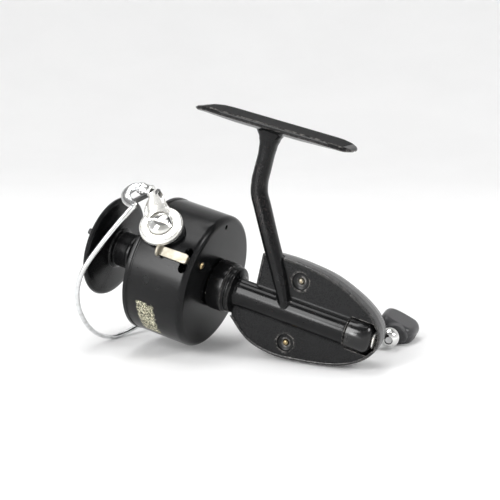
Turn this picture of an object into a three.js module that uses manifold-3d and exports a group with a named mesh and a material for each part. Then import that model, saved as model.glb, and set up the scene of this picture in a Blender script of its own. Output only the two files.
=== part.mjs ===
// Open-face fixed-spool fishing reel, in millimetres.
// The reel is laid out about its spool axis, which is the X axis of the group `reel`:
// +X is forward (spool), +Z is up (foot), +Y is the side of the frame that carries the shaft tube.
// `reel` is then shifted so that the origin is the centre of the foot's flat top face.
import * as THREE from "three";
import { mergeVertices } from "three/addons/utils/BufferGeometryUtils.js";
import Module from "manifold-3d";

const wasm = await Module();
wasm.setup();

// ---- driving dimensions -------------------------------------------------
const FOOT_X = -16; // middle of the foot, along the spool axis
const FOOT_Z = 70.5; // height of the foot's top face over the spool axis
const GAP = 0.3; // clearance between neighbouring pieces

const ROTOR_R = 28.5; // front rim of the rotor cup
const ROTOR_FRONT = 22.75;
const ROTOR_REAR = -4.3;
const BAIL_ANGLE = 46; // degrees: bail pivot axis from +Y towards +Z
const BAIL_X = 14; // bail pivot axis, along the spool axis
const PAD_N = 29.6; // flat seats of the bail, from the spool axis

const SPOOL_R = 21.74; // front lip of the spool
const SPOOL_LIP = 46.5;
const ARBOR_R = 7.5;
const STROKE = 13; // spool travel, twice the drive pin's eccentricity

const SHAFT_R = 2;
const SLEEVE_R = 3.3; // pinion sleeve
const MODULE = 0.7;
const PINION_TEETH = 11;
const GEAR_TEETH = 33;
const CRANK_X = -37; // crank axis
const CRANK_LEN = 35.9; // crank axis to knob ball
const CRANK_RISE = 12.5; // how far the ball stands outside the hub
const CRANK_ANGLE = 165.7; // degrees about Y: the arm's direction at rest
const KNOB_TILT = 13.9; // degrees the knob leans away from the crank axis
const BALL_R = 4.15;

const PLATE_Y = 2; // outer face of the body plate
const SHELL_Y = -15; // outer face of the gear housing
const TUBE_R = 6;

// ---- materials ----------------------------------------------------------
const finish = (color, roughness, metalness) => () =>
  new THREE.MeshStandardMaterial({ color, roughness, metalness });
const blackEnamel = finish(0x1b1c1f, 0.42, 0.0);
const glossEnamel = finish(0x121214, 0.2, 0.0);
const chrome = finish(0xd8d9d8, 0.12, 1.0);
const nickel = finish(0xc9c2ae, 0.3, 1.0);
const brass = finish(0xb6924c, 0.35, 1.0);
const steel = finish(0xa6a8aa, 0.35, 1.0);
const blackPlastic = finish(0x202124, 0.45, 0.0);
const fibre = finish(0x6d3b26, 0.8, 0.0);
const alloy = finish(0x8f9295, 0.5, 1.0);

// ---- helpers ------------------------------------------------------------
const rad = THREE.MathUtils.degToRad;
// three.js geometry -> manifold solid, facing out
function solid(geometry) {
  const bare = new THREE.BufferGeometry();
  const source = geometry.index ? geometry.toNonIndexed() : geometry;
  bare.setAttribute("position", source.getAttribute("position").clone());
  const merged = mergeVertices(bare, 1e-4);
  const p = merged.attributes.position.array;
  const kept = [];
  const index = merged.index.array;
  let six = 0;
  for (let i = 0; i < index.length; i += 3) {
    const [a, b, c] = [index[i], index[i + 1], index[i + 2]];
    if (a === b || b === c || c === a) continue;
    kept.push(a, b, c);
    const [A, B, C] = [a, b, c].map((k) => new THREE.Vector3().fromArray(p, 3 * k));
    six += A.dot(B.cross(C));
  }
  if (six < 0)
    for (let i = 0; i < kept.length; i += 3) [kept[i + 1], kept[i + 2]] = [kept[i + 2], kept[i + 1]];
  return new wasm.Manifold(
    new wasm.Mesh({ numProp: 3, vertProperties: p, triVerts: new Uint32Array(kept) }),
  );
}

// manifold solid -> three.js geometry
function geometryOf(body) {
  const mesh = body.getMesh();
  const stride = mesh.numProp;
  const count = mesh.vertProperties.length / stride;
  const xyz = new Float32Array(count * 3);
  for (let i = 0; i < count; i++)
    for (let k = 0; k < 3; k++) xyz[3 * i + k] = mesh.vertProperties[stride * i + k];
  const geometry = new THREE.BufferGeometry();
  geometry.setAttribute("position", new THREE.BufferAttribute(xyz, 3));
  geometry.setIndex(Array.from(mesh.triVerts));
  geometry.computeVertexNormals();
  return geometry;
}

// solid of revolution; profile is a closed loop of [along, radius]
function turned(axis, profile, segments = 32, phase = 0) {
  const points = profile.map(([t, r]) => new THREE.Vector2(r, t));
  const first = points[0];
  const last = points[points.length - 1];
  if (first.x > 1e-6 || last.x > 1e-6) points.push(first.clone());
  const g = new THREE.LatheGeometry(points, segments, phase);
  if (axis === "x") g.rotateZ(-Math.PI / 2);
  if (axis === "z") g.rotateX(Math.PI / 2);
  return solid(g);
}
const rod = (axis, a, b, r, segments = 24) =>
  turned(axis, [[a, 0], [a, r], [b, r], [b, 0]], segments);
const ring = (axis, a, b, inner, outer, segments = 32) =>
  turned(axis, [[a, inner], [a, outer], [b, outer], [b, inner]], segments);

// box from two corners
function block(x0, x1, y0, y1, z0, z1) {
  const g = new THREE.BoxGeometry(x1 - x0, y1 - y0, z1 - z0);
  g.translate((x0 + x1) / 2, (y0 + y1) / 2, (z0 + z1) / 2);
  return solid(g);
}

// outline in (x, z), thick from y0 to y1, edges optionally rounded
function slabY(outline, y0, y1, round = 0, steps = 3) {
  const shape = new THREE.Shape(outline.map(([x, z]) => new THREE.Vector2(x, z)));
  const g = new THREE.ExtrudeGeometry(shape, {
    depth: y1 - y0 - 2 * round,
    bevelEnabled: round > 0,
    bevelThickness: round,
    bevelSize: round,
    bevelOffset: -round,
    bevelSegments: steps,
    steps: 1,
  });
  g.rotateX(Math.PI / 2);
  g.translate(0, y1 - round, 0);
  return solid(g);
}
// outline in (x, y), thick from z0 to z1
function slabZ(outline, z0, z1) {
  const shape = new THREE.Shape(outline.map(([x, y]) => new THREE.Vector2(x, y)));
  const g = new THREE.ExtrudeGeometry(shape, { depth: z1 - z0, bevelEnabled: false, steps: 1 });
  g.translate(0, 0, z0);
  return solid(g);
}
// outline in (y, z), thick from x0 to x1
function slabX(outline, x0, x1) {
  const shape = new THREE.Shape(outline.map(([y, z]) => new THREE.Vector2(y, z)));
  const g = new THREE.ExtrudeGeometry(shape, { depth: x1 - x0, bevelEnabled: false, steps: 1 });
  g.rotateX(Math.PI / 2);
  g.rotateZ(Math.PI / 2);
  g.translate(x0, 0, 0);
  return solid(g);
}
// bar of a given section swept along a curve; section is in the curve's normal and binormal
function swept(section, points, steps, closed = false) {
  const curve = new THREE.CatmullRomCurve3(
    points.map((p) => new THREE.Vector3(...p)), closed, "catmullrom", 0.5);
  const g = new THREE.ExtrudeGeometry(new THREE.Shape(section), {
    steps, extrudePath: curve, bevelEnabled: false,
  });
  return solid(g);
}
function circleSection(r, n) {
  return Array.from({ length: n }, (_, i) => {
    const a = (2 * Math.PI * i) / n;
    return new THREE.Vector2(r * Math.cos(a), r * Math.sin(a));
  });
}
// bar whose oval section changes along its length; a station is [x, y, z, half width in the XZ
// plane, half width along Y]
function tapered(stations, n = 16, power = 2.5) {
  const curve = new THREE.CatmullRomCurve3(stations.map(([x, y, z]) => new THREE.Vector3(x, y, z)));
  const xyz = [];
  const last = stations.length - 1;
  stations.forEach(([x, y, z, a, b], i) => {
    const t = curve.getTangent(i / last);
    const side = new THREE.Vector3(t.z, 0, -t.x).normalize();
    for (let k = 0; k < n; k++) {
      const q = (2 * Math.PI * (k + 0.5)) / n;
      const c = Math.sign(Math.cos(q)) * Math.abs(Math.cos(q)) ** (2 / power) * a;
      const s = Math.sign(Math.sin(q)) * Math.abs(Math.sin(q)) ** (2 / power) * b;
      xyz.push(x + side.x * c, y + s, z + side.z * c);
    }
  });
  const index = [];
  for (let i = 0; i < last; i++)
    for (let k = 0; k < n; k++) {
      const a = i * n + k, b = i * n + ((k + 1) % n);
      index.push(a, b, b + n, a, b + n, a + n);
    }
  for (let k = 1; k < n - 1; k++) {
    index.push(0, k + 1, k);
    index.push(last * n, last * n + k, last * n + k + 1);
  }
  const g = new THREE.BufferGeometry();
  g.setAttribute("position", new THREE.Float32BufferAttribute(xyz, 3));
  g.setIndex(index);
  return solid(g);
}
function superSection(w, h, n, power = 2.6) {
  return Array.from({ length: n }, (_, i) => {
    const a = (2 * Math.PI * i) / n;
    const c = Math.cos(a), s = Math.sin(a);
    return new THREE.Vector2(
      (w / 2) * Math.sign(c) * Math.abs(c) ** (2 / power),
      (h / 2) * Math.sign(s) * Math.abs(s) ** (2 / power));
  });
}
// coil spring about X, wire radius r
function coil(x0, x1, radius, r, turns, perTurn = 12) {
  const points = [];
  const n = turns * perTurn;
  for (let i = 0; i <= n; i++) {
    const a = (2 * Math.PI * i) / perTurn;
    points.push([x0 + r + ((x1 - x0 - 2 * r) * i) / n, radius * Math.cos(a), radius * Math.sin(a)]);
  }
  return swept(circleSection(r, 5), points, n);
}
const moved = (body, x = 0, y = 0, z = 0) => solid(geometryOf(body).translate(x, y, z));
const turnedBy = (body, x = 0, y = 0, z = 0) =>
  solid(geometryOf(body).rotateX(rad(x)).rotateY(rad(y)).rotateZ(rad(z)));

function piece(name, body, material, parent) {
  const mesh = new THREE.Mesh(geometryOf(body), material());
  mesh.name = name;
  parent.add(mesh);
  return mesh;
}

// smooth closed outline through [x, z] points, pulled in by `inset`
function smoothLoop(points, inset, samples) {
  const curve = new THREE.CatmullRomCurve3(
    points.map(([x, z]) => new THREE.Vector3(x, z, 0)), true, "centripetal");
  const p = curve.getSpacedPoints(samples).slice(0, samples);
  const out = [];
  for (let i = 0; i < samples; i++) {
    const a = p[(i + samples - 1) % samples];
    const b = p[(i + 1) % samples];
    const t = b.clone().sub(a).normalize();
    out.push([p[i].x - t.y * inset * turnSign(p), p[i].y + t.x * inset * turnSign(p)]);
  }
  return out;
}
function turnSign(p) {
  let area = 0;
  for (let i = 0; i < p.length; i++) {
    const a = p[i];
    const b = p[(i + 1) % p.length];
    area += a.x * b.y - b.x * a.y;
  }
  return Math.sign(area);
}

// ---- groups -------------------------------------------------------------
const part = new THREE.Group();
const reel = new THREE.Group();
reel.position.set(-FOOT_X, 0, -FOOT_Z);
part.add(reel);
const rotor = new THREE.Group(); // local +Y is the bail pivot axis
rotor.rotation.x = rad(BAIL_ANGLE);
reel.add(rotor);
const bail = new THREE.Group();
bail.position.x = BAIL_X;
rotor.add(bail);
const crank = new THREE.Group(); // local +X runs along the crank arm
crank.position.x = CRANK_X;
crank.rotation.y = rad(CRANK_ANGLE);
reel.add(crank);

// ---- body outline, (x, z) ----------------------------------------------
// The housing is a flat egg with a square notch at its upper front corner, for the rotor's rear.
const EGG = [
  [-16, 14.5], [-22.6, 19.3], [-31.2, 20.5], [-38.9, 20.4], [-50.7, 19.1], [-60, 16.2],
  [-68.1, 12.4], [-74, 8], [-77.3, 3], [-77.5, -1.6], [-74.9, -6.8], [-70, -11.2],
  [-64.6, -14.1], [-56.6, -16.7], [-46, -18.9], [-36.7, -20.1], [-27.9, -19.2], [-22.5, -17.1],
  [-17.2, -13.1], [-12.4, -8], [-11, 2],
];
const NECK_X = -14.3; // front wall of the housing
const NOTCH_X = -22.8;
const NECK_R = 10.3;
function eggSlab(inset, y0, y1, round) {
  let body = slabY(smoothLoop(EGG, inset, 56), y0, y1, round);
  body = body.subtract(block(NECK_X - inset, 10, -40, 40, -40, 40));
  return body.subtract(block(NOTCH_X - inset, 10, -40, 40, -4 - inset, 40));
}

const SCREWS = [[-40.8, 13.2], [-40.2, -13.3]]; // housing screws, (x, z)

// ---- body casting: plate, shaft tube, neck, stem and foot ---------------
{
  let body = eggSlab(1.3, 0.2, PLATE_Y, 0);
  body = body.add(rod("x", -64.3, NECK_X + 0.2, TUBE_R, 32));
  body = body.subtract(block(-80, -17, -20, 0.2, -20, 20)); // the tube is a half round on the plate
  // bearing collar behind the rotor, with a narrow flange where the tube leaves it
  const neck = turned("x", [
    [-22.9, 0], [-22.9, TUBE_R], [-15.4, TUBE_R], [-14.9, 8.8], [-14.4, 9.4], [-13.2, 9.7], [-12.7, 9.4],
    [-12.3, 9.4], [-11.7, NECK_R], [-5.4, NECK_R], [ROTOR_REAR - GAP, 9.8], [ROTOR_REAR - GAP, 0],
  ], 40);
  body = body.add(neck);
  // stem
  body = body.add(tapered([
    [-14.2, 0.1, 68.6, 9.4, 5.2], [-14.3, 0.1, 67.0, 6.6, 4.7], [-14.4, 0.1, 65.2, 5.0, 4.2],
    [-14.4, 0.1, 62.6, 3.9, 3.9], [-14.4, 0.2, 59, 3.3, 3.7], [-14.2, 0.3, 52, 3.2, 3.7],
    [-14.2, 0.5, 46.5, 3.2, 3.7], [-15.2, 0.8, 41.8, 3.25, 3.7], [-17.6, 1.1, 37, 3.3, 3.7],
    [-24.4, 2.0, 24.5, 3.2, 3.6], [-31, 2.4, 12.5, 3.1, 3.5], [-35.6, 3.1, 3.9, 2.6, 3.0],
    [-38.4, 3.6, -1.2, 0.8, 1.9],
  ]));
  // foot: side profile, plan outline and a lens-shaped cross section
  const side = slabY([
    [20, 67.6], [19.4, 68.1], [13.5, 69.7], [8, 70.4], [6.5, FOOT_Z], [-38.5, FOOT_Z], [-43.5, 69.8],
    [-47.8, 68.5], [-49.6, 67.4], [-49.4, 66.7], [-43, 66.3], [-26.8, 66.2], [1.3, 66], [10.8, 66.6],
    [15.6, 67.1],
  ], -8, 8);
  const plan = slabZ([
    [20, 0], [19.2, 1.6], [15, 3.9], [10, 6.2], [6, 7.6], [-37, 7.6], [-42, 6.9], [-46, 5.3],
    [-48.7, 3], [-49.6, 0], [-48.7, -3], [-46, -5.3], [-42, -6.9], [-37, -7.6], [6, -7.6],
    [10, -6.2], [15, -3.9], [19.2, -1.6],
  ], 57, 72);
  const lens = slabX([
    [-8, 71], [-8, 69.1], [-6, 68.4], [-3.5, 67.2], [0, 66.2], [3.5, 67.2], [6, 68.4], [8, 69.1], [8, 71],
  ], -60, 30);
  body = body.add(side.intersect(plan).intersect(lens));
  // shaft channel, bearing seats
  body = body.subtract(rod("x", -64.4, -13, 4.7, 32));
  body = body.subtract(rod("x", -13.9, -9.2, 7.2, 32));
  body = body.subtract(rod("x", -9.4, -4, 5.4, 32));
  // seat of the tube's end cap
  body = body.subtract(rod("x", -80, -64.3, 6.9, 32));
  // recesses round the housing screws
  for (const [x, z] of SCREWS) {
    body = body.subtract(moved(rod("y", 1.1, 4, 3.6, 28), x, 0, z));
    body = body.subtract(moved(rod("y", -1, 4, 1.5, 18), x, 0, z));
  }
  piece("body_casting", body, blackEnamel, reel);
}

// ---- gear housing shell -------------------------------------------------
{
  let body = eggSlab(0, SHELL_Y, 12, 4).intersect(block(-90, 0, -30, PLATE_Y + 0.5, -30, 30));
  let hollow = eggSlab(1.0, SHELL_Y + 1.5, 12, 3.2).intersect(block(-90, 0, -30, 5, -30, 30));
  body = body.subtract(hollow);
  body = body.subtract(rod("x", -25, 0, TUBE_R + GAP, 40)); // round the tube
  body = body.subtract(rod("x", -15.7, 0, NECK_R + GAP, 40)); // round the neck
  body = body.subtract(rod("x", -76.2, -74, 4.4, 24)); // behind the end plug
  body = body.subtract(block(-33.5, -20.5, -3.6, 5, 17.5, 23)); // the stem passes the lip
  // crank bearing boss, inside and out
  body = body.add(moved(rod("y", SHELL_Y - 2.6, SHELL_Y + 2.3, 7.2, 32), CRANK_X, 0, 0));
  body = body.subtract(moved(rod("y", -30, SHELL_Y + 6, 5.2, 28), CRANK_X, 0, 0));
  // screw pillars
  for (const [x, z] of SCREWS) {
    body = body.add(moved(rod("y", SHELL_Y + 1, -9.4, 3.9, 20), x, 0, z));
    body = body.subtract(moved(rod("y", -20, 2, 1.5, 18), x, 0, z));
    body = body.subtract(moved(rod("y", -20, SHELL_Y + 1.6, 3.0, 20), x, 0, z));
  }
  // pillar of the anti-reverse pawl
  body = body.add(moved(rod("y", SHELL_Y + 1, -11.2, 2.2, 16), -52.5, 0, -5));
  piece("gear_housing", body, blackEnamel, reel);
}

// ---- housing screws -----------------------------------------------------
for (const [name, [x, z], skin] of [
  ["housing_screw_upper", SCREWS[0], nickel],
  ["housing_screw_lower", SCREWS[1], brass],
]) {
  let body = turned("y", [
    [-15.3, 0], [-15.3, 2.3], [-14.9, 2.7], [-13.8, 2.7], [-13.8, 1.15], [1.5, 1.15], [1.9, 0.7], [1.95, 0],
  ], 20);
  body = body.subtract(block(-4, 4, -16, -14.7, -0.35, 0.35));
  piece(name, body, skin, reel).position.set(x, 0, z);
}

// ---- tube end cap and its plug -----------------------------------------
{
  let body = turned("x", [
    [-64.6, 4.9], [-64.6, 6.3], [-65.0, 6.5], [-71.2, 6.5], [-72.8, 5.8], [-74.1, 4.5], [-74.5, 3.5],
    [-74.5, 2.2], [-72.4, 2.2], [-72.4, 4.2], [-71, 4.9],
  ], 32);
  piece("tube_end_cap", body, glossEnamel, reel);
  let plug = turned("x", [
    [-70.6, 0], [-70.6, 1.9], [-74.8, 1.9], [-74.8, 3.3], [-75.2, 3.5], [-75.5, 3.1], [-75.6, 0],
  ], 24);
  plug = plug.subtract(block(-76, -75.3, -0.4, 0.4, -4, 4));
  piece("end_plug", plug, chrome, reel);
}

// ---- bearings -----------------------------------------------------------
piece("front_bearing", ring("x", -13.6, -9.5, SLEEVE_R + GAP, 6.9, 32), steel, reel);
piece("neck_bushing", ring("x", -8.9, -4.9, SLEEVE_R + GAP, 5.1, 28), brass, reel);
piece("crank_bushing", turned("y", [
  [SHELL_Y - 3.5, 3.3], [SHELL_Y - 3.5, 6.2], [SHELL_Y - 2.9, 6.2], [SHELL_Y - 2.9, 4.9],
  [SHELL_Y + 2.2, 4.9], [SHELL_Y + 2.2, 3.3],
], 24), brass, reel).position.set(CRANK_X, 0, 0);

// ---- anti-reverse pawl --------------------------------------------------
const PAWL = [-52.5, -5];
piece("pawl_pivot", rod("y", -10.9, -7.6, 0.9, 16), steel, reel).position.set(PAWL[0], 0, PAWL[1]);
{
  const reach = slabY([
    [-1.8, -2], [1.2, -2], [7.6, 2.0], [7.8, 3.3], [6.6, 3.2], [0.4, 2.2], [-1.8, 1.6],
  ], -10.4, -8.6);
  let body = reach.subtract(rod("y", -12, -7, 1.2, 16));
  piece("anti_reverse_pawl", body, steel, reel).position.set(PAWL[0], 0, PAWL[1]);
}

// ---- rotor --------------------------------------------------------------
{
  let body = turned("x", [
    [ROTOR_FRONT, 26.9], [ROTOR_FRONT, 28.1], [ROTOR_FRONT - 0.4, ROTOR_R], [20.9, ROTOR_R],
    [20.5, 28.2], [-1.6, 28.0], [-2.9, 27.5], [-3.9, 26.6], [ROTOR_REAR, 25.4],
    [ROTOR_REAR, SLEEVE_R + GAP], [2.6, SLEEVE_R + GAP], [2.6, 6.8], [-2.3, 8], [-2.3, 25.2], [-0.6, 26.4],
  ], 54);
  const seat = block(10, 22.3, 24, PAD_N, -6, 6).add(moved(rod("y", 24, PAD_N, 6, 24), 10, 0, 0));
  const bore = moved(rod("y", 20, 40, 2.5, 20), BAIL_X, 0, 0);
  const cup = rod("x", -2.3, 30, 26.3, 54);
  for (const side of [0, 180]) {
    body = body.add(turnedBy(seat, side, 0, 0).subtract(cup));
    body = body.subtract(turnedBy(bore, side, 0, 0));
  }
  // curved slot of the trip lever, centred 17.5 degrees below the bail axis
  const arc = [];
  for (let a = -25; a <= -10; a += 3) arc.push([31 * Math.cos(rad(a)), 31 * Math.sin(rad(a))]);
  for (let a = -10; a >= -25; a -= 3) arc.push([24 * Math.cos(rad(a)), 24 * Math.sin(rad(a))]);
  let slot = slabX(arc, -2.45, 0.85);
  for (const a of [-25, -10]) {
    const end = moved(rod("y", 24, 31, 1.65, 20), -0.8, 0, 0);
    slot = slot.add(turnedBy(end, a, 0, 0));
  }
  body = body.subtract(slot);
  // lever rivet hole
  body = body.subtract(turnedBy(moved(rod("y", 24, 31, 1.0, 14), 11.3, 0, 0), -17, 0, 0));
  // holes in the rear wall
  for (const [a, r] of [[41.6, 24.2], [-13.6, 20.1]])
    body = body.subtract(turnedBy(moved(rod("x", -6, 0, 1.0, 14), 0, r, 0), a, 0, 0));
  piece("rotor_cup", body, blackEnamel, rotor);
}
piece("rotor_nut", (() => {
  const corners = Array.from({ length: 6 }, (_, i) => i * Math.PI / 3);
  const hex = corners.map((a) => [5.9 * Math.cos(a), 5.9 * Math.sin(a)]);
  return slabX(hex, 2.9, 5.6).subtract(rod("x", 0, 9, SLEEVE_R + GAP, 24));
})(), brass, rotor);
// rivet in the rear wall that carries the bail spring's far end
{
  const rivet = turned("x", [[-5.2, 0], [-5.2, 0.9], [-4.6, 1.4], [-4.6, 0.7], [-1.2, 0.7], [-1.2, 0]], 14);
  piece("spring_rivet", turnedBy(moved(rivet, 0, 20.1, 0), -13.6, 0, 0), brass, rotor);
}

// pinion: sleeve with straight teeth at its rear end
function toothedOutline(teeth, root, tip, rootHalf, tipHalf, phase) {
  const points = [];
  for (let i = 0; i < teeth; i++) {
    const a = phase + (2 * Math.PI * i) / teeth;
    for (const [r, d] of [[root, -rootHalf], [tip, -tipHalf], [tip, tipHalf], [root, rootHalf]])
      points.push([r * Math.cos(a + d), r * Math.sin(a + d)]);
  }
  return points;
}
const PITCH = (PINION_TEETH * MODULE) / 2;
const PINION_TIP = PITCH + 0.55;
const PINION_ROOT = PITCH - 0.72;
{
  // a tooth gap faces the drive gear, which is on -Y
  const phase = Math.PI + Math.PI / PINION_TEETH;
  let body = slabX(toothedOutline(PINION_TEETH, PINION_ROOT, PINION_TIP, 0.16, 0.065, phase), -27.6, -23.6);
  body = body.add(rod("x", -24, 7, SLEEVE_R, 32));
  body = body.subtract(rod("x", -40, 20, SHAFT_R + GAP, 24));
  piece("pinion", body, brass, reel);
}

// ---- trip lever, on the rotor -------------------------------------------
const LEVER_X = 11.3;
const LEVER_A = -17;
const leverGroup = new THREE.Group();
leverGroup.rotation.x = rad(LEVER_A);
rotor.add(leverGroup);
{
  const strip = slabY([
    [13, -1.9], [13, 1.9], [9, 2.1], [0.4, 2.1], [-2, 2.1], [-2, -2.1], [0.4, -2.1], [9, -2.1],
  ], 28.9, 29.7);
  let body = strip.add(block(-1.6, -0.5, 24.6, 29.6, -1.7, 1.7));
  body = body.subtract(moved(rod("y", 20, 40, 1.3, 18), LEVER_X, 0, 0));
  piece("trip_lever", body, nickel, leverGroup);
  const rivet = turned("y", [
    [24.8, 0], [24.8, 1.6], [25.5, 1.6], [25.5, 0.75], [28.5, 0.75], [28.6, 0.9], [30.0, 0.9],
    [30.0, 1.7], [30.5, 1.5], [30.7, 0],
  ], 18);
  piece("lever_rivet", rivet, nickel, leverGroup).position.x = LEVER_X;
}

// ---- bail ---------------------------------------------------------------
// In the group `bail`, +Y is the pivot axis, +X is forward and -Z is the side the wire bows to.
const ARM_Y = PAD_N + GAP; // underside of the arm
const ROLLER = [9.9, 35.4, 10.9]; // where the roller meets the arm
{
  let body = moved(turned("y", [[0, 0], [0, 8.8], [1.9, 8.8], [2.5, 8.2], [2.5, 0]], 40), 0, ARM_Y, 0);
  const limb = slabY([
    [7.9, 0.6], [9.6, 3.4], [12.4, 7.6], [12.2, 11.2], [10.2, 14], [6.6, 13.6], [2.6, 11.2], [-2.4, 8],
  ], ARM_Y, ARM_Y + 4.4);
  body = body.add(limb);
  const cone = turned("x", [[-4.4, 0], [-4.4, 2.2], [-2.6, 3.2], [0, 3.1], [0, 0]], 24);
  body = body.add(moved(cone, ...ROLLER));
  body = body.add(moved(block(-4.2, -0.6, -3.6, 0, -2.5, 2.5), ...ROLLER));
  body = body.subtract(moved(rod("x", 0, 9, 3.6, 20), ...ROLLER));
  body = body.subtract(rod("y", 20, 40, 2.9, 20));
  body = body.subtract(rod("y", ARM_Y + 1.4, 40, 5.4, 30));
  body = body.subtract(moved(rod("x", -9, 6, 1.3, 16), ...ROLLER));
  body = body.subtract(moved(rod("x", -12, -3.4, 2.0, 20), ...ROLLER));
  piece("bail_arm", body, chrome, bail);
}
// screws that are the bail's pivots: the rotor holds them
function pivotScrew(domed) {
  const shank = [[25.0, 0], [25.0, 2.2], [31.0, 2.2], [31.0, 2.5], [31.65, 2.5]];
  const dome = [[31.65, 4.9], [32.5, 5.0], [33.3, 4.6], [34.2, 3.5], [34.8, 1.9], [35.0, 0]];
  const cheese = [[31.65, 4.2], [32.6, 4.3], [33.2, 3.6], [33.4, 0]];
  const body = turned("y", [...shank, ...(domed ? dome : cheese)], 32);
  const slot = block(-7, 7, domed ? 33.6 : 32.6, 40, -0.4, 0.4);
  return body.subtract(turnedBy(slot, 0, 3, 0));
}
const nearScrew = piece("bail_screw_near", pivotScrew(true), chrome, rotor);
nearScrew.position.x = BAIL_X;
const farScrew = piece("bail_screw_far", pivotScrew(false), chrome, rotor);
farScrew.position.x = BAIL_X;
farScrew.rotation.x = Math.PI;

// line roller and the pin it turns on
piece("line_roller", turned("x", [
  [0.35, 1.3], [0.35, 2.9], [0.9, 3.1], [1.3, 2.7], [2.3, 2.2], [3.9, 2.2], [4.8, 2.6], [5.3, 2.6],
  [5.3, 1.3],
], 28), chrome, bail).position.set(...ROLLER);
piece("roller_pin", turned("x", [
  [-4.4, 0], [-4.4, 1.3], [-4.1, 1.6], [-3.7, 1.6], [-3.7, 1.0], [6.4, 1.0], [6.4, 0],
], 16), steel, bail).position.set(...ROLLER);

// wire: a hooked eye round the roller's free end, then a half oval round the spool
{
  const half = [
    [38.0, 0.6], [36.4, 6], [34.0, 14.4], [31.2, 22.6], [28.4, 29.2], [25.3, 34], [20.6, 37.7],
    [14.4, 40.4], [7.6, 41.9], [0, 42.4],
  ];
  const offset = -11.53;
  const tilt = rad(71);
  const place = ([n, r]) => {
    const x = r * Math.cos(tilt) - offset * Math.sin(tilt);
    const w = r * Math.sin(tilt) + offset * Math.cos(tilt);
    return [x, n, -w];
  };
  const eye = [
    [15.6, 35.4, 10.9], [18.2, 35.7, 10.3], [19.8, 36.2, 7.6], [19.4, 36.8, 4.6], [16.6, 37.3, 2.4],
  ];
  const near = half.slice(1).map(place);
  const far = half.slice(2, -1).reverse().map(([n, r]) => place([-n, r]));
  const tail = [place([-36.2, 7.5]), [8.6, -34.6, 3.2], [5.4, -32.3, 1.6]];
  let body = swept(circleSection(1.05, 8), [...eye, ...near, ...far, ...tail], 62);
  const collar = turned("x", [[5.6, 0], [5.6, 2.3], [6.1, 2.6], [7.2, 2.6], [7.6, 2.2], [7.6, 0]], 20);
  body = body.add(moved(collar, ...ROLLER));
  body = body.subtract(moved(rod("x", 0, 6.9, 1.3, 16), ...ROLLER));
  // foot of the wire on the far pivot
  const foot = turned("y", [[0, 0], [0, 6.3], [-1.8, 6.3], [-2.4, 5.8], [-2.4, 0]], 30);
  body = body.add(moved(foot, 0, -ARM_Y, 0));
  body = body.subtract(rod("y", -40, -20, 2.9, 20));
  body = body.subtract(rod("y", -40, -ARM_Y - 1.4, 4.7, 28));
  piece("bail_wire", body, chrome, bail);
}

// coil that throws the bail over, on the floor of the cup round its rivet
piece("bail_spring", turnedBy(moved(coil(-1.9, 1.4, 3.2, 0.35, 3), 0, 20.1, 0), -13.6, 0, 0), steel, rotor);

// ---- main shaft and what rides on it ------------------------------------
{
  let body = rod("x", -37.9, 50.4, SHAFT_R, 24);
  body = body.subtract(block(36, 46.5, 1.55, 5, -5, 5));
  piece("main_shaft", body, steel, reel);
  const cx = CRANK_X + STROKE / 2; // slot line at rest, spool forward
  let yoke = block(cx - 2.5, cx + 2.5, -3.05, -1, -9.2, 9.2);
  let hub = rod("x", -37.6, cx - 1.5, 4.3, 28).intersect(block(-50, 0, -3.05, 10, -10, 10));
  yoke = yoke.add(hub);
  yoke = yoke.subtract(block(cx - 1.3, cx + 1.3, -5, -2.15, -7.9, 7.9));
  for (const z of [-7.9, 4.6]) yoke = yoke.subtract(block(cx - 1.3, cx + 1.3, -5, 0, z, z + 3.3));
  yoke = yoke.subtract(rod("x", -60, 0, SHAFT_R + GAP, 24));
  piece("shaft_yoke", yoke, brass, reel);
}

// ---- spool --------------------------------------------------------------
piece("spool", turned("x", [
  [20.6, 2.4], [20.6, 6.6], [19.2, 8.2], [19.2, 22.4], [19.7, 22.9], [20.6, 22.9], [21, 22.4], [21.2, 9.2],
  [22.4, 8.0], [33.8, ARBOR_R], [34.2, 8.1], [35.4, 8.1], [35.8, ARBOR_R], [41.6, ARBOR_R], [42.2, 8.6],
  [43.2, 8.8],
  [43.6, 12], [44.2, 18.6], [44.4, 20.6], [44.9, 21.4], [45.8, SPOOL_R], [46.7, 21.5], [47.1, 20.9],
  [46.4, 19.6], [45.4, 18], [44.9, 11], [44.6, 6.3], [38.8, 6.3], [38.8, 2.4],
], 40), blackEnamel, reel);
piece("drag_washer_rear", ring("x", 39.1, 39.9, 2.4, 6.0, 28), fibre, reel);
piece("drag_washer_keyed", ring("x", 40.2, 40.9, 2.4, 6.0, 28), steel, reel);
piece("drag_washer_front", ring("x", 41.2, 42.0, 2.4, 6.0, 28), fibre, reel);
piece("drag_spring", coil(42.3, 46.9, 3.9, 0.45, 3, 12), steel, reel);
{
  let body = turned("x", [
    [47.2, 0], [47.2, 6.6], [47.7, 7], [49.4, 7], [50.2, 6.4], [52.2, 5.2], [53, 4], [53.3, 0],
  ], 36);
  const wings = block(48.2, 52.6, -11.4, 11.4, -1.3, 1.3);
  body = body.add(turnedBy(wings, 28, 0, 0));
  body = body.subtract(rod("x", 40, 50.8, SHAFT_R + GAP, 24));
  piece("drag_knob", body, blackPlastic, reel);
}

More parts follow.
